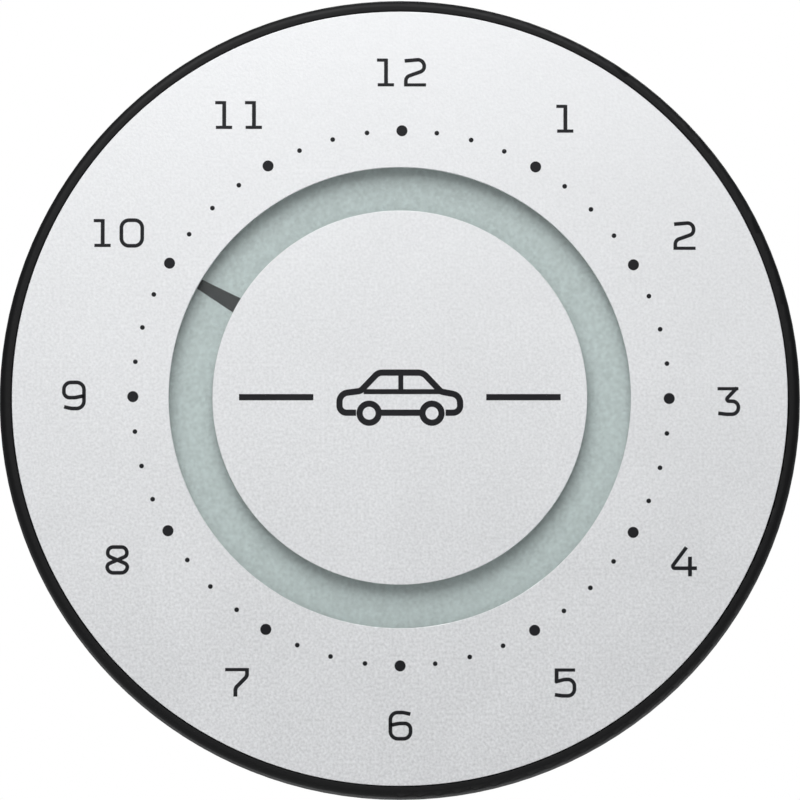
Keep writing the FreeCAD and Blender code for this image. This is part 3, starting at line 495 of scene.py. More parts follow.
@dataclass(frozen=True)
class SolderMask(Finish):
    """Lacquered circuit board, with its copper tracks showing as a lighter green."""

    track_tone: Colour = (0.03, 0.22, 0.08)
    track_scale: float = 260.0
    step_height: float = 0.03
    step_strength: float = 0.4
    patch_scale: float = 500.0
    patch_amount: float = 0.15
    smudge: float = 0.15

    def fill(self, sheet: Sheet, where: NodeSocket) -> dict[str, NodeSocket | float]:
        """Adds the track pattern, its step in height and the lacquer's gloss."""
        cells = sheet.add(
            "TexVoronoi",
            {"Vector": where, "Scale": self.track_scale},
            feature="DISTANCE_TO_EDGE",
            distance="EUCLIDEAN",
        )
        track = sheet.add(
            "MapRange",
            {"Value": cells.outputs["Distance"], "From Min": 0.06, "From Max": 0.1},
        )
        mixed = sheet.add(
            "Mix",
            {0: track.outputs["Result"], 6: (*self.track_tone, 1.0), 7: (*self.tone, 1.0)},
            data_type="RGBA",
        )
        step = sheet.add(
            "Bump",
            {
                "Strength": self.step_strength,
                "Distance": self.step_height * MM,
                "Height": track.outputs["Result"],
            },
        )
        return {
            "Base Color": self.mottled(
                sheet, where, self.patch_scale, self.patch_amount, mixed.outputs[2]
            ),
            "Normal": step.outputs["Normal"],
            "Roughness": self.handled(sheet, where, self.smudge),
        }


RIM_BLACK = Moulded(
    "rim_black", (0.003, 0.003, 0.0034), 0.5, grain_scale=2600.0, grain_depth=0.7, specular=0.27
)
HOUSING_BLACK = Moulded(
    "housing_black", (0.022, 0.022, 0.024), 0.5, grain_scale=1900.0, grain_depth=1.0
)
BUTTON_GREY = Moulded(
    "button_grey", (0.11, 0.115, 0.125), 0.62, grain_scale=3000.0, grain_depth=0.6, smudge=0.12
)
CARRIER_WHITE = Moulded("carrier_white", (0.78, 0.78, 0.75), 0.45, patch_amount=0.05)
PART_BLACK = Moulded("part_black", (0.02, 0.02, 0.022), 0.55, patch_amount=0.2)
STRIP_GREY = Moulded("strip_grey", (0.16, 0.16, 0.17), 0.7, grain_depth=0.3)
CERAMIC_TAN = Moulded("ceramic_tan", (0.36, 0.26, 0.15), 0.5, grain_depth=0.3)
REFLECTOR = Moulded("reflector", (0.62, 0.65, 0.62), 0.35, grain_depth=0.2, patch_amount=0.04)
DIAL_SILVER = SilverDial("dial_silver", (0.86, 0.865, 0.875), 0.5)
DIAL_INK = Ink("dial_ink", (0.006, 0.006, 0.0085), 0.36, specular=0.35)
SYMBOL_WHITE = Ink("symbol_white", (0.72, 0.73, 0.74), 0.5)
SEGMENT_DARK = Ink("segment_dark", (0.004, 0.0055, 0.006), 0.6, specular=0.08)
SEGMENT_GHOST = Ink("segment_ghost", (0.33, 0.38, 0.36), 0.6)
DISPLAY_GREEN = DisplayFilm("display_green", (0.53, 0.618, 0.602), 0.6)
LENS_CLEAR = ClearPlate("lens_clear", (0.9, 0.94, 0.94), 0.05, body=0.05)
DISPLAY_GLASS = ClearPlate("display_glass", (0.75, 0.85, 0.82), 0.04, body=0.3)
BOARD_GREEN = SolderMask("board_green", (0.012, 0.1, 0.035), 0.3)
CELL_STEEL = Metal("cell_steel", (0.7, 0.7, 0.7), 0.28, lay=Lay.DRAWN_ALONG_X)
CAN_STEEL = Metal("can_steel", (0.66, 0.66, 0.64), 0.3)
SPRING_STRIP = Metal("spring_strip", (0.74, 0.71, 0.63), 0.25, lay=Lay.DRAWN_ALONG_Z)
SCREW_STEEL = Metal("screw_steel", (0.42, 0.42, 0.44), 0.35)
SWITCH_STEEL = Metal("switch_steel", (0.6, 0.6, 0.6), 0.32)
FLOOR_WHITE = Moulded(
    "floor_white",
    (0.6, 0.6, 0.6),
    0.8,
    grain_scale=40.0,
    grain_depth=0.1,
    patch_scale=5.0,
    patch_amount=0.02,
    smudge=0.02,
)


# ---------------------------------------------------------------- mesh tools


def is_vertex(item: object) -> bool:
    """Tells a mesh vertex from an edge or a face."""
    return isinstance(item, bmesh.types.BMVert)


def is_edge(item: object) -> bool:
    """Tells a mesh edge from a vertex or a face."""
    return isinstance(item, bmesh.types.BMEdge)


def round_edges(bm: bmesh.types.BMesh, width: float, segments: int, sharper: float = 35.0) -> None:
    """Rounds every edge that is sharper than an angle.

    Args:
        bm: the mesh.
        width: width of the rounding, in the mesh's own unit.
        segments: faces across the rounding.
        sharper: smallest angle between the faces of a rounded edge, in degrees.
    """
    least = math.radians(sharper)
    sharp = [e for e in bm.edges if e.is_manifold and e.calc_face_angle() > least]
    bmesh.ops.bevel(
        bm,
        geom=sharp,
        offset=width,
        offset_type="OFFSET",
        segments=segments,
        profile=0.5,
        affect="EDGES",
        clamp_overlap=True,
        material=-1,
    )


def thicken(bm: bmesh.types.BMesh, front: float, back: float) -> None:
    """Turns flat faces in the XZ plane into a slab between two depths.

    Args:
        bm: the mesh, whose vertices all lie at depth 0.
        front: depth of the slab's front.
        back: depth of the slab's back.
    """
    bmesh.ops.translate(bm, vec=DIAL_AXIS * front, verts=bm.verts)
    grown = bmesh.ops.extrude_face_region(bm, geom=bm.faces[:])
    moved = [item for item in grown["geom"] if is_vertex(item)]
    bmesh.ops.translate(bm, vec=DIAL_AXIS * (back - front), verts=moved)


def add_disc(
    bm: bmesh.types.BMesh, centre: Vector, radius: float, front: float, back: float, sides: int
) -> None:
    """Adds a round plate whose axis is parallel to the dial's.

    Args:
        bm: the mesh to add it to.
        centre: its centre; the depth is not used.
        radius: its radius.
        front: depth of its front face.
        back: depth of its back face.
        sides: number of sides.
    """
    spot = Vector((centre.x, (front + back) / 2, centre.z))
    bmesh.ops.create_cone(
        bm,
        cap_ends=True,
        cap_tris=False,
        segments=sides,
        radius1=radius,
        radius2=radius,
        depth=back - front,
        matrix=Matrix.Translation(spot) @ Matrix.Rotation(math.radians(90.0), 4, "X"),
    )


def add_bar(
    bm: bmesh.types.BMesh, centre: Vector, width: float, height: float, front: float, back: float
) -> None:
    """Adds an upright rectangular plate.

    Args:
        bm: the mesh to add it to.
        centre: its centre; the depth is not used.
        width: its size along X.
        height: its size along Z.
        front: depth of its front face.
        back: depth of its back face.
    """
    spot = Vector((centre.x, (front + back) / 2, centre.z))
    size = Matrix.Diagonal((width, back - front, height, 1.0))
    bmesh.ops.create_cube(bm, size=1.0, matrix=Matrix.Translation(spot) @ size)


def turned_ring(
    inner: float, outer: float, front: float, back: float, steps: int
) -> bmesh.types.BMesh:
    """Makes a flat ring about the dial's axis by a full spin.

    Args:
        inner: its inside radius.
        outer: its outside radius.
        front: depth of its front face.
        back: depth of its back face.
        steps: steps round the spin.

    Returns:
        The ring's mesh.
    """
    bm = bmesh.new()
    start = bm.verts.new((inner, front, 0.0))
    end = bm.verts.new((outer, front, 0.0))
    face_line = bm.edges.new((start, end))
    grown = bmesh.ops.extrude_edge_only(bm, edges=[face_line])
    moved = [item for item in grown["geom"] if is_vertex(item)]
    bmesh.ops.translate(bm, vec=DIAL_AXIS * (back - front), verts=moved)
    bmesh.ops.delete(bm, geom=bm.faces[:], context="FACES_ONLY")
    section = bm.edges[:] + bm.verts[:]
    bmesh.ops.spin(
        bm, geom=section, cent=(0, 0, 0), axis=DIAL_AXIS, angle=math.tau, steps=steps, use_merge=True
    )
    return bm


def refined_copy(node: str, edge_round: float, sharper: float = 50.0) -> bmesh.types.BMesh:
    """Copies a CAD node's mesh, joins its flat faces and rounds its edges.

    Args:
        node: name of the CAD node.
        edge_round: width of the rounding.
        sharper: smallest angle of a rounded edge, in degrees.

    Returns:
        The copy, in millimetres.
    """
    bm = bmesh.new()
    bm.from_mesh(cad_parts[node].data)
    bmesh.ops.scale(bm, vec=Vector((1.0, 1.0, 1.0)) / MM, verts=bm.verts)
    bmesh.ops.remove_doubles(bm, verts=bm.verts, dist=0.001)
    bmesh.ops.dissolve_limit(
        bm, angle_limit=math.radians(0.5), verts=bm.verts, edges=bm.edges, use_dissolve_boundaries=False
    )
    if edge_round > 0.0:
        round_edges(bm, edge_round, 2, sharper)
    return bm


@dataclass(frozen=True)
class Piece:
    """How a finished mesh joins the object."""

    name: str
    finish: Finish
    body: str = "case"
    slot: str | None = None
    replaces: tuple[str, ...] = ()
    crease: float = 30.0

    def finished(self, bm: bmesh.types.BMesh) -> bpy.types.Object:
        """Closes a mesh in millimetres into a piece of the object.

        Args:
            bm: the mesh, which is used up.

        Returns:
            The new object, at the origin, riding on its body.
        """
        bmesh.ops.remove_doubles(bm, verts=bm.verts, dist=0.0005)
        bmesh.ops.recalc_face_normals(bm, faces=bm.faces)
        bmesh.ops.scale(bm, vec=Vector((MM, MM, MM)), verts=bm.verts)
        mesh = bpy.data.meshes.new(self.name)
        bm.to_mesh(mesh)
        bm.free()
        mesh.shade_smooth()
        mesh.set_sharp_from_angle(angle=math.radians(self.crease))
        mesh.materials.append(self.finish.material())
        made = bpy.data.objects.new(self.name, mesh)
        bpy.context.scene.collection.objects.link(made)
        even = made.modifiers.new("even_normals", "WEIGHTED_NORMAL")
        even.keep_sharp = True
        even.weight = 100
        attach(made, self.body)
        if self.replaces:
            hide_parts(*self.replaces)
        return made

    def refined(self, edge_round: float) -> bpy.types.Object:
        """Finishes a copy of the CAD node that the piece replaces, its edges rounded."""
        return self.finished(refined_copy(self.replaces[0], edge_round))


# ---------------------------------------------------------------- drawn strokes


@dataclass(frozen=True)
class Stroke:
    """One pull of a flat pen through corner points.

    A corner is (x, z) or, where the pen goes round it, (x, z, radius).
    """

    width: float
    corners: tuple[tuple[float, ...], ...]


class Pen:
    """Draws strokes as flat faces in the XZ plane of a mesh, as the reader sees them."""

    STEP = math.radians(7.5)

    def __init__(self, bm: bmesh.types.BMesh) -> None:
        """Keeps the mesh that is drawn in."""
        self.bm = bm

    def draw(self, stroke: Stroke, spot: Vector) -> None:
        """Draws a stroke.

        Args:
            stroke: its width and corners.
            spot: where the stroke's own origin lies.
        """
        corners = [spot + Vector((c[0], 0.0, c[1])) for c in stroke.corners]
        radii = [c[2] if len(c) > 2 else 0.0 for c in stroke.corners]
        nib = self.set_down(corners[0], corners[1] - corners[0], stroke.width)
        trimmed = 0.0
        for here, corner, onward, radius in zip(corners, corners[1:], corners[2:], radii[1:]):
            ahead = (corner - here).normalized()
            turn = self.turn_between(ahead, onward - corner)
            trim = radius * math.tan(abs(turn) / 2)
            nib = self.pull(nib, ahead * ((corner - here).length - trimmed - trim))
            if radius > 0.0:
                side = self.left_of(ahead) * math.copysign(radius, turn)
                nib = self.swing(nib, corner - ahead * trim + side, turn)
            trimmed = trim
        last = corners[-1] - corners[-2]
        self.pull(nib, last.normalized() * (last.length - trimmed))

    def set_down(self, spot: Vector, heading: Vector, width: float) -> bmesh.types.BMEdge:
        """Sets the pen down square to its heading and gives the nib's edge."""
        half = self.left_of(heading.normalized()) * width / 2
        return self.bm.edges.new((self.bm.verts.new(spot - half), self.bm.verts.new(spot + half)))

    def pull(self, nib: bmesh.types.BMEdge, way: Vector) -> bmesh.types.BMEdge:
        """Pulls the pen straight and gives the nib's edge at the end."""
        grown = bmesh.ops.extrude_edge_only(self.bm, edges=[nib])["geom"]
        ends = [item for item in grown if is_vertex(item)]
        bmesh.ops.translate(self.bm, vec=way, verts=ends)
        return next(item for item in grown if is_edge(item) and set(item.verts) == set(ends))

    def swing(self, nib: bmesh.types.BMEdge, centre: Vector, turn: float) -> bmesh.types.BMEdge:
        """Swings the pen round a centre and gives the nib's edge at the end."""
        spun = bmesh.ops.spin(
            self.bm,
            geom=[nib, *nib.verts],
            cent=centre,
            axis=TO_READER,
            angle=turn,
            steps=max(2, round(abs(turn) / self.STEP)),
        )
        return next(item for item in spun["geom_last"] if is_edge(item))

    @staticmethod
    def left_of(heading: Vector) -> Vector:
        """Gives the direction to the left of a heading, as the reader sees it."""
        return Vector((-heading.z, 0.0, heading.x))

    @staticmethod
    def turn_between(ahead: Vector, onward: Vector) -> float:
        """Gives the turn from one heading to another in radians, positive to the left."""
        turn = math.atan2(onward.z, onward.x) - math.atan2(ahead.z, ahead.x)
        return (turn + math.pi) % math.tau - math.pi


STEM = 0.39
BAR = 0.32
BOWL = 0.37

ONE = (
    Stroke(STEM, ((0.05, 1.39), (0.05, -1.39))),
    Stroke(BAR, ((-0.85, 1.24), (0.1, 1.24))),
    Stroke(BAR, ((-0.78, -1.24), (0.85, -1.24))),
)
TWO = (
    Stroke(
        BOWL,
        (
            (-1.04, 1.16), (0.3, 1.27, 2.0), (0.91, 1.3, 0.62), (0.91, 0.2, 0.55),
            (-0.92, -0.46, 0.55), (-0.92, -1.4),
        ),
    ),
    Stroke(BAR, ((-1.08, -1.25), (1.1, -1.25))),
)
THREE = (
    Stroke(BAR, ((-1.12, 1.27), (0.96, 1.27))),
    Stroke(
        BOWL,
        (
            (0.82, 1.36), (-0.44, 0.04, 0.2), (0.95, 0.0, 0.6), (0.95, -1.28, 0.66),
            (-0.3, -1.28, 2.0), (-1.06, -1.18),
        ),
    ),
)
FOUR = (
    Stroke(BOWL, ((0.28, 1.45), (-1.27, -0.63, 0.2), (1.32, -0.63))),
    Stroke(STEM, ((0.63, 0.52), (0.63, -1.43))),
)
FIVE = (
    Stroke(BAR, ((-1.03, 1.28), (0.98, 1.28))),
    Stroke(STEM, ((-0.86, 1.42), (-0.86, 0.0))),
    Stroke(
        BOWL,
        (
            (-1.0, 0.1), (-0.1, 0.34, 1.2), (0.91, 0.36, 0.66), (0.91, -1.28, 0.68),
            (-0.3, -1.28, 2.0), (-1.04, -1.17),
        ),
    ),
)
SIX = (
    Stroke(
        BOWL,
        (
            (0.98, 1.13), (0.3, 1.3, 1.6), (-1.0, 1.3, 0.72), (-1.0, -1.3, 0.74),
            (1.0, -1.3, 0.7), (1.0, 0.22, 0.58), (-0.1, 0.22, 1.6), (-0.98, 0.04),
        ),
    ),
)
SEVEN = (
    Stroke(BAR, ((-1.19, 1.26), (1.13, 1.26))),
    Stroke(STEM, ((0.98, 1.4), (0.98, 0.6, 0.55), (-0.17, -0.56, 0.6), (-0.17, -1.42))),
)
EIGHT = tuple(
    Stroke(
        BOWL,
        (
            (0.0, 1.28), (-0.95 * side, 1.28, 0.54), (-0.95 * side, 0.4, 0.42),
            (1.0 * side, -0.44, 0.42), (1.0 * side, -1.28, 0.6), (0.0, -1.28),
        ),
    )
    for side in (-1, 1)
)
NOUGHT = (
    Stroke(
        BOWL,
        (
            (0.0, -1.28), (1.04, -1.28, 0.76), (1.04, 1.28, 0.76), (-1.04, 1.28, 0.76),
            (-1.04, -1.28, 0.76), (0.0, -1.28),
        ),
    ),
)


CAR_LINE = 0.62
CAR_THIN = 0.496
CAR_BODY = Stroke(
    CAR_LINE,
    (
        (-4.35, -1.55), (-6.0, -1.55, 0.7), (-6.0, 0.35, 0.9), (-3.9, 0.62, 0.6),
        (-2.15, 2.45, 0.9), (2.3, 2.45, 1.1), (4.1, 0.55, 0.6), (6.0, 0.2, 0.9),
        (6.0, -1.55, 0.7), (4.55, -1.55),
    ),
)
CAR = (
    (0, CAR_BODY),
    (0, Stroke(CAR_LINE, ((-1.9, -1.55), (2.05, -1.55)))),
    (1, Stroke(CAR_THIN, ((-3.6, 0.55), (4.0, 0.55)))),
    (2, Stroke(CAR_THIN, ((0.1, 0.6), (0.1, 2.4)))),
)
CAR_WHEEL_LAYER = 3
CAR_WHEEL = 0.95
CAR_HUBS = ((-3.05, -1.6), (3.2, -1.6))


def upside_down(shape: tuple[Stroke, ...]) -> tuple[Stroke, ...]:
    """Turns a numeral's strokes by half a turn."""
    return tuple(
        Stroke(s.width, tuple((-c[0], -c[1], *c[2:]) for c in s.corners)) for s in shape
    )


@dataclass(frozen=True)
class Hour:
    """An hour numeral: its digits with each digit's place, and a small shift of the whole."""

    digits: tuple[tuple[tuple[Stroke, ...], float], ...]
    shift: tuple[float, float] = (0.0, 0.0)


HOURS = {
    1: Hour(((ONE, 0.0),), (-0.01, -0.22)),
    2: Hour(((TWO, 0.0),), (0.03, 0.0)),
    3: Hour(((THREE, 0.0),), (0.09, -0.27)),
    4: Hour(((FOUR, 0.0),), (-0.04, 0.0)),
    5: Hour(((FIVE, 0.0),), (0.13, -0.15)),
    6: Hour(((SIX, 0.0),), (0.06, -0.08)),
    7: Hour(((SEVEN, 0.0),), (0.1, -0.2)),
    8: Hour(((EIGHT, 0.0),), (0.04, 0.0)),
    9: Hour(((upside_down(SIX), 0.0),), (-0.02, 0.1)),
    10: Hour(((ONE, -1.67), (NOUGHT, 1.28)), (0.0, 0.08)),
    11: Hour(((ONE, -1.5), (ONE, 1.47)), (-0.03, 0.04)),
    12: Hour(((ONE, -1.62), (TWO, 1.33)), (-0.04, 0.01)),
}


# ---------------------------------------------------------------- sub-assemblies


class SubAssembly:
    """Pieces that are built and dressed together."""

    finishes: ClassVar[dict[str, Finish]] = {}

    def build(self) -> list[bpy.types.Object]:
        """Builds the new meshes, where there are any, and gives them."""
        return []

    def dress(self) -> None:
        """Gives the CAD nodes that stay in view their finishes."""
        for node, finish in self.finishes.items():
            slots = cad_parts[node].data.materials
            slots.clear()
            slots.append(finish.material())


@dataclass
class FrontCase(SubAssembly):
    """Black bezel around the dial, and the clear lens behind it."""

    finishes: ClassVar = {"front_lens": LENS_CLEAR}
    edge_round: float = 0.05

    def build(self) -> list[bpy.types.Object]:
        """Builds the bezel."""
        bezel = Piece("bezel_shell", RIM_BLACK, slot="case_black", replaces=("front_bezel",))
        return [bezel.refined(self.edge_round)]


@dataclass
class Dial(SubAssembly):
    """Silver dial plates with the printed hours."""

    print_height: float = 0.02
    print_overlap: float = 0.01
    layer_height: float = 0.003
    edge_round: float = 0.06
    spin_steps: int = 256
    numeral_radius: float = 32.52
    dot_radius: float = 26.68
    hour_dot: float = 0.55
    part_dot: float = 0.235
    parts_per_hour: int = 4
    print_shift: tuple[float, float] = (0.12, -0.04)
    print_turn: float = 0.2
    bar_start: float = 8.6
    bar_end: float = 16.0
    front: float = field(init=False)
    back: float = field(init=False)

    def __post_init__(self) -> None:
        """Reads the plates' depths from the CAD model."""
        self.front = low("outer_dial_plate").y
        self.back = high("outer_dial_plate").y

    def spot(self, hour: float, radius: float) -> Vector:
        """Gives the place on the printed dial at an hour and a radius.

        Args:
            hour: hour on the dial.
            radius: distance from the print's centre.

        Returns:
            The place, at depth 0.
        """
        angle = math.radians(hour * 30.0 + self.print_turn)
        away = Vector((math.sin(angle), 0.0, math.cos(angle))) * radius
        return away + Vector((self.print_shift[0], 0.0, self.print_shift[1]))

    def build(self) -> list[bpy.types.Object]:
        """Builds both plates, the numerals, the dots and the pictogram."""
        return [
            self.outer_plate(),
            self.centre_plate(),
            self.numerals(),
            self.hour_dots(),
            self.part_dots(),
            self.pictogram(),
        ]

    def outer_plate(self) -> bpy.types.Object:
        """Builds the outer plate."""
        inner, outer = reach("outer_dial_plate")
        bm = turned_ring(inner, outer, self.front + self.print_height, self.back, self.spin_steps)
        return self.plate("dial_ring_plate", "outer_dial_plate", bm)

    def centre_plate(self) -> bpy.types.Object:
        """Builds the centre plate."""
        bm = bmesh.new()
        radius = high("centre_dial_plate").x
        front = self.front + self.print_height
        add_disc(bm, Vector(), radius, front, self.back, self.spin_steps)
        return self.plate("dial_centre_plate", "centre_dial_plate", bm)

    def plate(self, name: str, node: str, bm: bmesh.types.BMesh) -> bpy.types.Object:
        """Rounds a plate's edges and puts it in its CAD node's place.

        Args:
            name: the piece's name.
            node: name of the CAD node.
            bm: the plate with sharp edges.

        Returns:
            The plate.
        """
        bmesh.ops.recalc_face_normals(bm, faces=bm.faces)
        round_edges(bm, self.edge_round, 3)
        return Piece(name, DIAL_SILVER, slot="dial_silver", replaces=(node,)).finished(bm)

    def printed(self, name: str, bm: bmesh.types.BMesh) -> bpy.types.Object:
        """Closes flat printed shapes into a piece.

        Args:
            name: the piece's name.
            bm: flat faces at depth 0.

        Returns:
            The printed piece.
        """
        bmesh.ops.remove_doubles(bm, verts=bm.verts, dist=0.001)
        thicken(bm, self.front, self.front + self.print_height + self.print_overlap)
        return Piece(name, DIAL_INK).finished(bm)

    def numerals(self) -> bpy.types.Object:
        """Prints the twelve hour numerals."""
        bm = bmesh.new()
        pen = Pen(bm)
        for hour, numeral in HOURS.items():
            spot = self.spot(hour, self.numeral_radius)
            spot += Vector((numeral.shift[0], 0.0, numeral.shift[1]))
            for shape, across in numeral.digits:
                for layer, stroke in enumerate(shape):
                    pen.draw(stroke, spot + Vector((across, layer * self.layer_height, 0.0)))
        return self.printed("hour_numerals", bm)

    def dots(self, name: str, radius: float, hours: list[float], sides: int) -> bpy.types.Object:
        """Prints a set of dots on the dot circle.

        Args:
            name: the piece's name.
            radius: radius of a dot.
            hours: place of each dot on the dial.
            sides: sides of a dot.

        Returns:
            The printed piece.
        """
        bm = bmesh.new()
        back = self.front + self.print_height + self.print_overlap
        for hour in hours:
            add_disc(bm, self.spot(hour, self.dot_radius), radius, self.front, back, sides)
        return Piece(name, DIAL_INK).finished(bm)

    def hour_dots(self) -> bpy.types.Object:
        """Prints the twelve large dots."""
        return self.dots("hour_dots", self.hour_dot, [float(h) for h in range(12)], 40)

    def part_dots(self) -> bpy.types.Object:
        """Prints the small dots between the hours."""
        parts = range(12 * self.parts_per_hour)
        hours = [p / self.parts_per_hour for p in parts if p % self.parts_per_hour]
        return self.dots("part_hour_dots", self.part_dot, hours, 24)

    def pictogram(self) -> bpy.types.Object:
        """Prints a plain car between two bars."""
        bm = bmesh.new()
        pen = Pen(bm)
        for layer, stroke in CAR:
            pen.draw(stroke, DIAL_AXIS * layer * self.layer_height)
        above = DIAL_AXIS * CAR_WHEEL_LAYER * self.layer_height
        for hub in CAR_HUBS:
            hub_spot = Vector((hub[0], 0.0, hub[1])) + above
            rim = hub_spot + Vector((CAR_WHEEL, 0.0, 0.0))
            pen.swing(pen.set_down(rim, Vector((0.0, 0.0, 1.0)), CAR_LINE), hub_spot, math.tau)
        for side in (-1.0, 1.0):
            ends = ((side * self.bar_start, 0.0), (side * self.bar_end, 0.0))
            pen.draw(Stroke(CAR_LINE, ends), Vector())
        return self.printed("centre_pictogram", bm)


@dataclass
class RingDisplay(SubAssembly):
    """Ring-shaped display behind the lens, with its time marker."""

    finishes: ClassVar = {
        "ring_display_polariser": DISPLAY_GREEN,
        "ring_display_front_glass": DISPLAY_GLASS,
        "ring_display_rear_glass": DISPLAY_GLASS,
        "ring_display_reflector": REFLECTOR,
        "ring_display_connector_strip": STRIP_GREY,
        "display_carrier": CARRIER_WHITE,
    }
    marker_clock_angle: float = 299.75
    marker_inner_width: float = 1.66
    marker_outer_width: float = 1.0
    marker_height: float = 0.03
    hidden_end: float = 0.35

    def build(self) -> list[bpy.types.Object]:
        """Builds the time marker on the film's face."""
        inner = reach("centre_dial_plate")[1] - self.hidden_end
        outer = reach("outer_dial_plate")[0] + self.hidden_end
        face = low("ring_display_polariser").y
        angle = math.radians(self.marker_clock_angle)
        away = Vector((math.sin(angle), 0.0, math.cos(angle)))
        bm = bmesh.new()
        pen = Pen(bm)
        nib = pen.set_down(away * inner, away, self.marker_inner_width)
        end = pen.pull(nib, away * (outer - inner))
        taper = self.marker_outer_width / self.marker_inner_width
        bmesh.ops.scale(
            bm,
            vec=Vector((taper, taper, taper)),
            space=Matrix.Translation(-away * outer),
            verts=list(end.verts),
        )
        thicken(bm, face - self.marker_height, face + self.marker_height)
        return [Piece("time_marker", SEGMENT_DARK).finished(bm)]


@dataclass
class RearCase(SubAssembly):
    """Rear housing with its screws, battery cover and window."""

    finishes: ClassVar = {"rear_window": LENS_CLEAR}
    edge_round: float = 0.12
    screw_edge_round: float = 0.06

    def build(self) -> list[bpy.types.Object]:
        """Builds the housing, the cover and the screws with rounded edges."""
        housing = Piece(
            "housing_shell", HOUSING_BLACK, slot="housing_black", replaces=("rear_housing",)
        )
        cover = Piece(
            "battery_lid",
            HOUSING_BLACK,
            body="battery_cover",
            slot="housing_black",
            replaces=("battery_cover",),
        )
        screws = Piece(
            "cross_head_screws", SCREW_STEEL, slot="screw_steel", replaces=("housing_screws",)
        )
        return [
            housing.refined(self.edge_round),
            cover.refined(self.edge_round),
            screws.refined(self.screw_edge_round),
        ]


class Symbol(Enum):
    """Mark on top of a button."""

    MINUS = "minus"
    SET = "set"
    PLUS = "plus"


@dataclass
class Keypad(SubAssembly):
    """Three rubber buttons with their symbols, over their switches."""

    finishes: ClassVar = {
        f"{symbol.value}_switch_{part}": finish
        for symbol in Symbol
        for part, finish in (("plunger", PART_BLACK), ("body", SWITCH_STEEL))
    }
    edge_round: float = 0.3
    dish_rim: float = 0.45
    dish_depth: float = 0.14
    symbol_span: float = 2.6
    symbol_line: float = 0.5
    symbol_height: float = 0.03
    layer_height: float = 0.005

    def build(self) -> list[bpy.types.Object]:
        """Builds each button and its symbol."""
        return [made for symbol in Symbol for made in (self.button(symbol), self.mark(symbol))]

    def button(self, symbol: Symbol) -> bpy.types.Object:
        """Builds a button with a dished top.

        Args:
            symbol: the button's mark.

        Returns:
            The button.
        """
        node = f"{symbol.value}_button"
        bm = refined_copy(node, 0.0)
        top = max(bm.faces, key=lambda f: (round(f.calc_center_median().y, 2), f.calc_area()))
        bmesh.ops.inset_individual(bm, faces=[top], thickness=self.dish_rim, depth=0.0)
        bmesh.ops.inset_individual(bm, faces=[top], thickness=self.dish_rim, depth=-self.dish_depth)
        piece = Piece(
            f"{symbol.value}_key", BUTTON_GREY, body=node, slot="button_grey", replaces=(node,)
        )
        return piece.finished(bm)

    def mark(self, symbol: Symbol) -> bpy.types.Object:
        """Prints the symbol in the button's dish.

        Args:
            symbol: the mark to print.

        Returns:
            The printed mark.
        """
        node = f"{symbol.value}_button"
        spot = middle(node)
        floor = high(node).y - self.dish_depth
        front, back = floor - self.symbol_height, floor + self.symbol_height
        bm = bmesh.new()
        if symbol is Symbol.SET:
            add_disc(bm, spot, self.symbol_span / 4, front, back, 40)
        else:
            add_bar(bm, spot, self.symbol_span, self.symbol_line, front, back)
        if symbol is Symbol.PLUS:
            above = self.layer_height
            add_bar(bm, spot, self.symbol_line, self.symbol_span, front + above, back + above)
        return Piece(f"{symbol.value}_mark", SYMBOL_WHITE, body=node).finished(bm)


SEGMENTS_OF = {
    "0": "abcdef",
    "1": "bc",
    "2": "abged",
    "3": "abgcd",
    "4": "fgbc",
    "5": "afgcd",
    "6": "afgedc",
    "7": "abc",
    "8": "abcdefg",
    "9": "abcdfg",
}


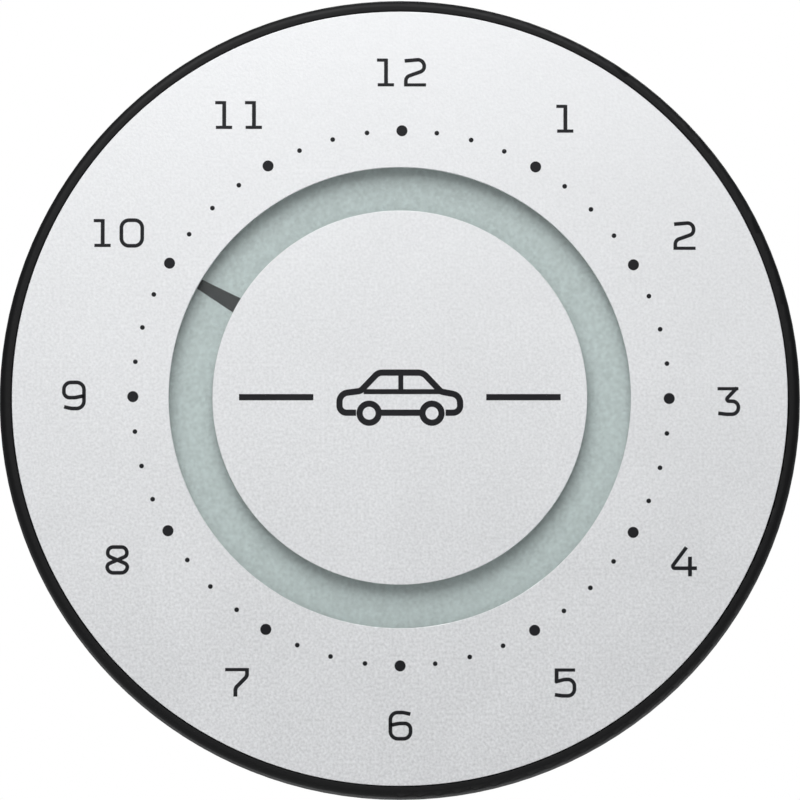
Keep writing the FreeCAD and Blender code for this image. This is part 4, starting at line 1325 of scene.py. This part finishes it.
@dataclass
class RearDisplay(SubAssembly):
    """Small clock display in the rear window."""

    finishes: ClassVar = {
        "rear_display_polariser": DISPLAY_GREEN,
        "rear_display_outer_glass": DISPLAY_GLASS,
        "rear_display_inner_glass": DISPLAY_GLASS,
        "rear_display_reflector": REFLECTOR,
        "rear_display_connector_strip": STRIP_GREY,
        "rear_display_holder": CARRIER_WHITE,
    }
    shown: str = "0952"
    digit_width: float = 3.1
    digit_height: float = 5.6
    digit_pitch: float = 4.6
    colon_gap: float = 1.6
    colon_rise: float = 0.9
    colon_dot: float = 0.7
    segment_line: float = 0.62
    segment_gap: float = 0.12
    segment_height: float = 0.03

    def build(self) -> list[bpy.types.Object]:
        """Builds the lit segments, the unlit ones and the colon."""
        return [
            self.segments("rear_digits", SEGMENT_DARK, lit=True),
            self.segments("rear_ghost_segments", SEGMENT_GHOST, lit=False),
        ]

    def digit_spot(self, place: int) -> Vector:
        """Gives the centre of a digit, counted from the reader's left at the rear."""
        off = (place - 1.5) * self.digit_pitch + math.copysign(self.colon_gap / 2, place - 1.5)
        return Vector((middle("rear_window").x - off, 0.0, middle("rear_window").z))

    def segment_ends(self, name: str) -> tuple[Vector, Vector]:
        """Gives the ends of a segment, in the digit's own plane seen from the rear.

        Args:
            name: the segment's letter, from a at the top to g in the middle.

        Returns:
            Its two ends.
        """
        half, rise = self.digit_width / 2, self.digit_height / 2
        ends = {
            "a": ((-half, rise), (half, rise)),
            "b": ((-half, rise), (-half, 0.0)),
            "c": ((-half, 0.0), (-half, -rise)),
            "d": ((-half, -rise), (half, -rise)),
            "e": ((half, 0.0), (half, -rise)),
            "f": ((half, rise), (half, 0.0)),
            "g": ((-half, 0.0), (half, 0.0)),
        }
        start, end = ends[name]
        return Vector((start[0], 0.0, start[1])), Vector((end[0], 0.0, end[1]))

    def segments(self, name: str, finish: Finish, lit: bool) -> bpy.types.Object:
        """Builds the segments of one state.

        Args:
            name: the piece's name.
            finish: their finish.
            lit: whether they are the dark ones of the time that is shown.

        Returns:
            The piece.
        """
        face = high("rear_display_polariser").y
        bm = bmesh.new()
        pen = Pen(bm)
        for place, digit in enumerate(self.shown):
            for letter in "abcdefg":
                if (letter in SEGMENTS_OF[digit]) == lit:
                    self.segment(pen, letter, self.digit_spot(place))
        if lit:
            half = Vector((self.colon_dot / 2, 0.0, 0.0))
            for side in (-1.0, 1.0):
                rise = middle("rear_window").z + side * self.colon_rise
                dot = Vector((middle("rear_window").x, 0.0, rise))
                pen.pull(pen.set_down(dot - half, half, self.colon_dot), half * 2)
        thicken(bm, face - self.segment_height, face + self.segment_height)
        return Piece(name, finish).finished(bm)

    def segment(self, pen: Pen, letter: str, spot: Vector) -> None:
        """Draws one segment with pointed ends.

        Args:
            pen: the pen to draw with.
            letter: the segment.
            spot: centre of its digit.
        """
        start, end = self.segment_ends(letter)
        way = (end - start).normalized()
        point = self.segment_line / 2
        start = start + way * (self.segment_gap + point) + spot
        end = end - way * (self.segment_gap + point) + spot
        nib = pen.set_down(start, way, self.segment_line)
        last = pen.pull(nib, end - start)
        for edge, tip in ((nib, start - way * point), (last, end + way * point)):
            grown = pen.pull(edge, Vector())
            bmesh.ops.pointmerge(pen.bm, verts=list(grown.verts), merge_co=tip)


@dataclass
class Electronics(SubAssembly):
    """Circuit board with its components, and the coin cell between its contacts."""

    finishes: ClassVar = {
        "circuit_board": BOARD_GREEN,
        "microcontroller": PART_BLACK,
        "accelerometer": PART_BLACK,
        "clock_crystal": CAN_STEEL,
        "piezo_buzzer": PART_BLACK,
        "ceramic_capacitors": CERAMIC_TAN,
        "coin_cell": CELL_STEEL,
        "negative_contact": SPRING_STRIP,
        "positive_contact": SPRING_STRIP,
    }


# ---------------------------------------------------------------- studio


@dataclass
class Lamp:
    """A soft square light that looks at the dial's centre."""

    name: str
    place: tuple[float, float, float]
    side: float
    power: float

    def hang(self) -> None:
        """Adds the light to the scene."""
        light = bpy.data.lights.new(self.name, "AREA")
        light.shape = "SQUARE"
        light.size = self.side * MM
        light.energy = self.power
        lamp = bpy.data.objects.new(self.name, light)
        lamp.location = Vector(self.place) * MM
        lamp.rotation_euler = lamp.location.to_track_quat("Z", "Y").to_euler()
        bpy.context.scene.collection.objects.link(lamp)


@dataclass
class Studio:
    """Pale floor, white surroundings, soft lights and the camera."""

    distance: float = 650.0
    camera_height: float = -44.3
    aim: tuple[float, float] = (0.02, -0.08)
    aim_depth: float = 3.0
    view_width: float = 79.95
    nearest: float = 10.0
    floor_depth: float = 90.0
    floor_side: float = 4000.0
    sky_above: float = 0.28
    sky_below: float = 0.02
    lamps: tuple[Lamp, ...] = (
        Lamp("key_light", (-60.0, -325.0, 305.0), 380.0, 1.82),
        Lamp("back_light", (120.0, 380.0, 320.0), 260.0, 1.5),
    )

    def set_up(self) -> None:
        """Adds everything around the object."""
        self.surroundings()
        self.floor()
        for lamp in self.lamps:
            lamp.hang()
        self.camera()

    def camera(self) -> None:
        """Adds the long-lens camera in front of the dial, slightly below its centre."""
        lens = bpy.data.cameras.new("camera")
        target = Vector((self.aim[0], self.aim_depth, self.aim[1]))
        spot = Vector((self.aim[0], self.aim_depth - self.distance, self.camera_height))
        lens.lens = lens.sensor_width * (target - spot).length / self.view_width
        lens.clip_start = self.nearest * MM
        made = bpy.data.objects.new("camera", lens)
        made.location = spot * MM
        made.rotation_euler = (target - spot).to_track_quat("-Z", "Y").to_euler()
        bpy.context.scene.collection.objects.link(made)
        bpy.context.scene.camera = made

    def floor(self) -> None:
        """Adds the plain pale floor below the object."""
        bm = bmesh.new()
        level = Matrix.Translation((0.0, 0.0, -self.floor_depth * MM))
        half = self.floor_side * MM / 2
        bmesh.ops.create_grid(bm, x_segments=1, y_segments=1, size=half, matrix=level)
        mesh = bpy.data.meshes.new("floor")
        bm.to_mesh(mesh)
        bm.free()
        mesh.materials.append(FLOOR_WHITE.material())
        made = bpy.data.objects.new("floor", mesh)
        bpy.context.scene.collection.objects.link(made)

    def surroundings(self) -> None:
        """Adds a white surround that lights the object softly."""
        world = bpy.data.worlds.new("surroundings")
        world.use_nodes = True
        world.node_tree.nodes.clear()
        sheet = Sheet(world.node_tree)
        height = sheet.add("SeparateXYZ", {"Vector": sheet.add("TexCoord").outputs["Generated"]})
        level = sheet.add(
            "MapRange",
            {
                "Value": height.outputs["Z"],
                "From Min": -0.3,
                "From Max": 0.7,
                "To Min": self.sky_below,
                "To Max": self.sky_above,
            },
            interpolation_type="SMOOTHSTEP",
        )
        soft = sheet.add(
            "Background", {"Color": (0.93, 0.97, 1.0, 1.0), "Strength": level.outputs["Result"]}
        )
        plain = sheet.add("Background", {"Color": (1.0, 1.0, 1.0, 1.0), "Strength": 1.0})
        path = sheet.add("LightPath")
        mixed = sheet.add(
            "MixShader",
            {0: path.outputs["Is Camera Ray"], 1: soft.outputs[0], 2: plain.outputs[0]},
        )
        sheet.add("OutputWorld", {"Surface": mixed.outputs[0]})
        bpy.context.scene.world = world


def main() -> None:
    """Builds and dresses every sub-assembly, then sets up the studio."""
    logging.basicConfig(level=logging.INFO, format="%(name)s: %(message)s")
    bpy.context.scene.view_settings.view_transform = "Standard"
    for part in (
        FrontCase(),
        Dial(),
        RingDisplay(),
        RearCase(),
        Keypad(),
        RearDisplay(),
        Electronics(),
    ):
        for made in part.build():
            LOG.info("%s: %d faces", made.name, len(made.data.polygons))
        part.dress()
    Studio().set_up()


if __name__ == "__main__":
    main()
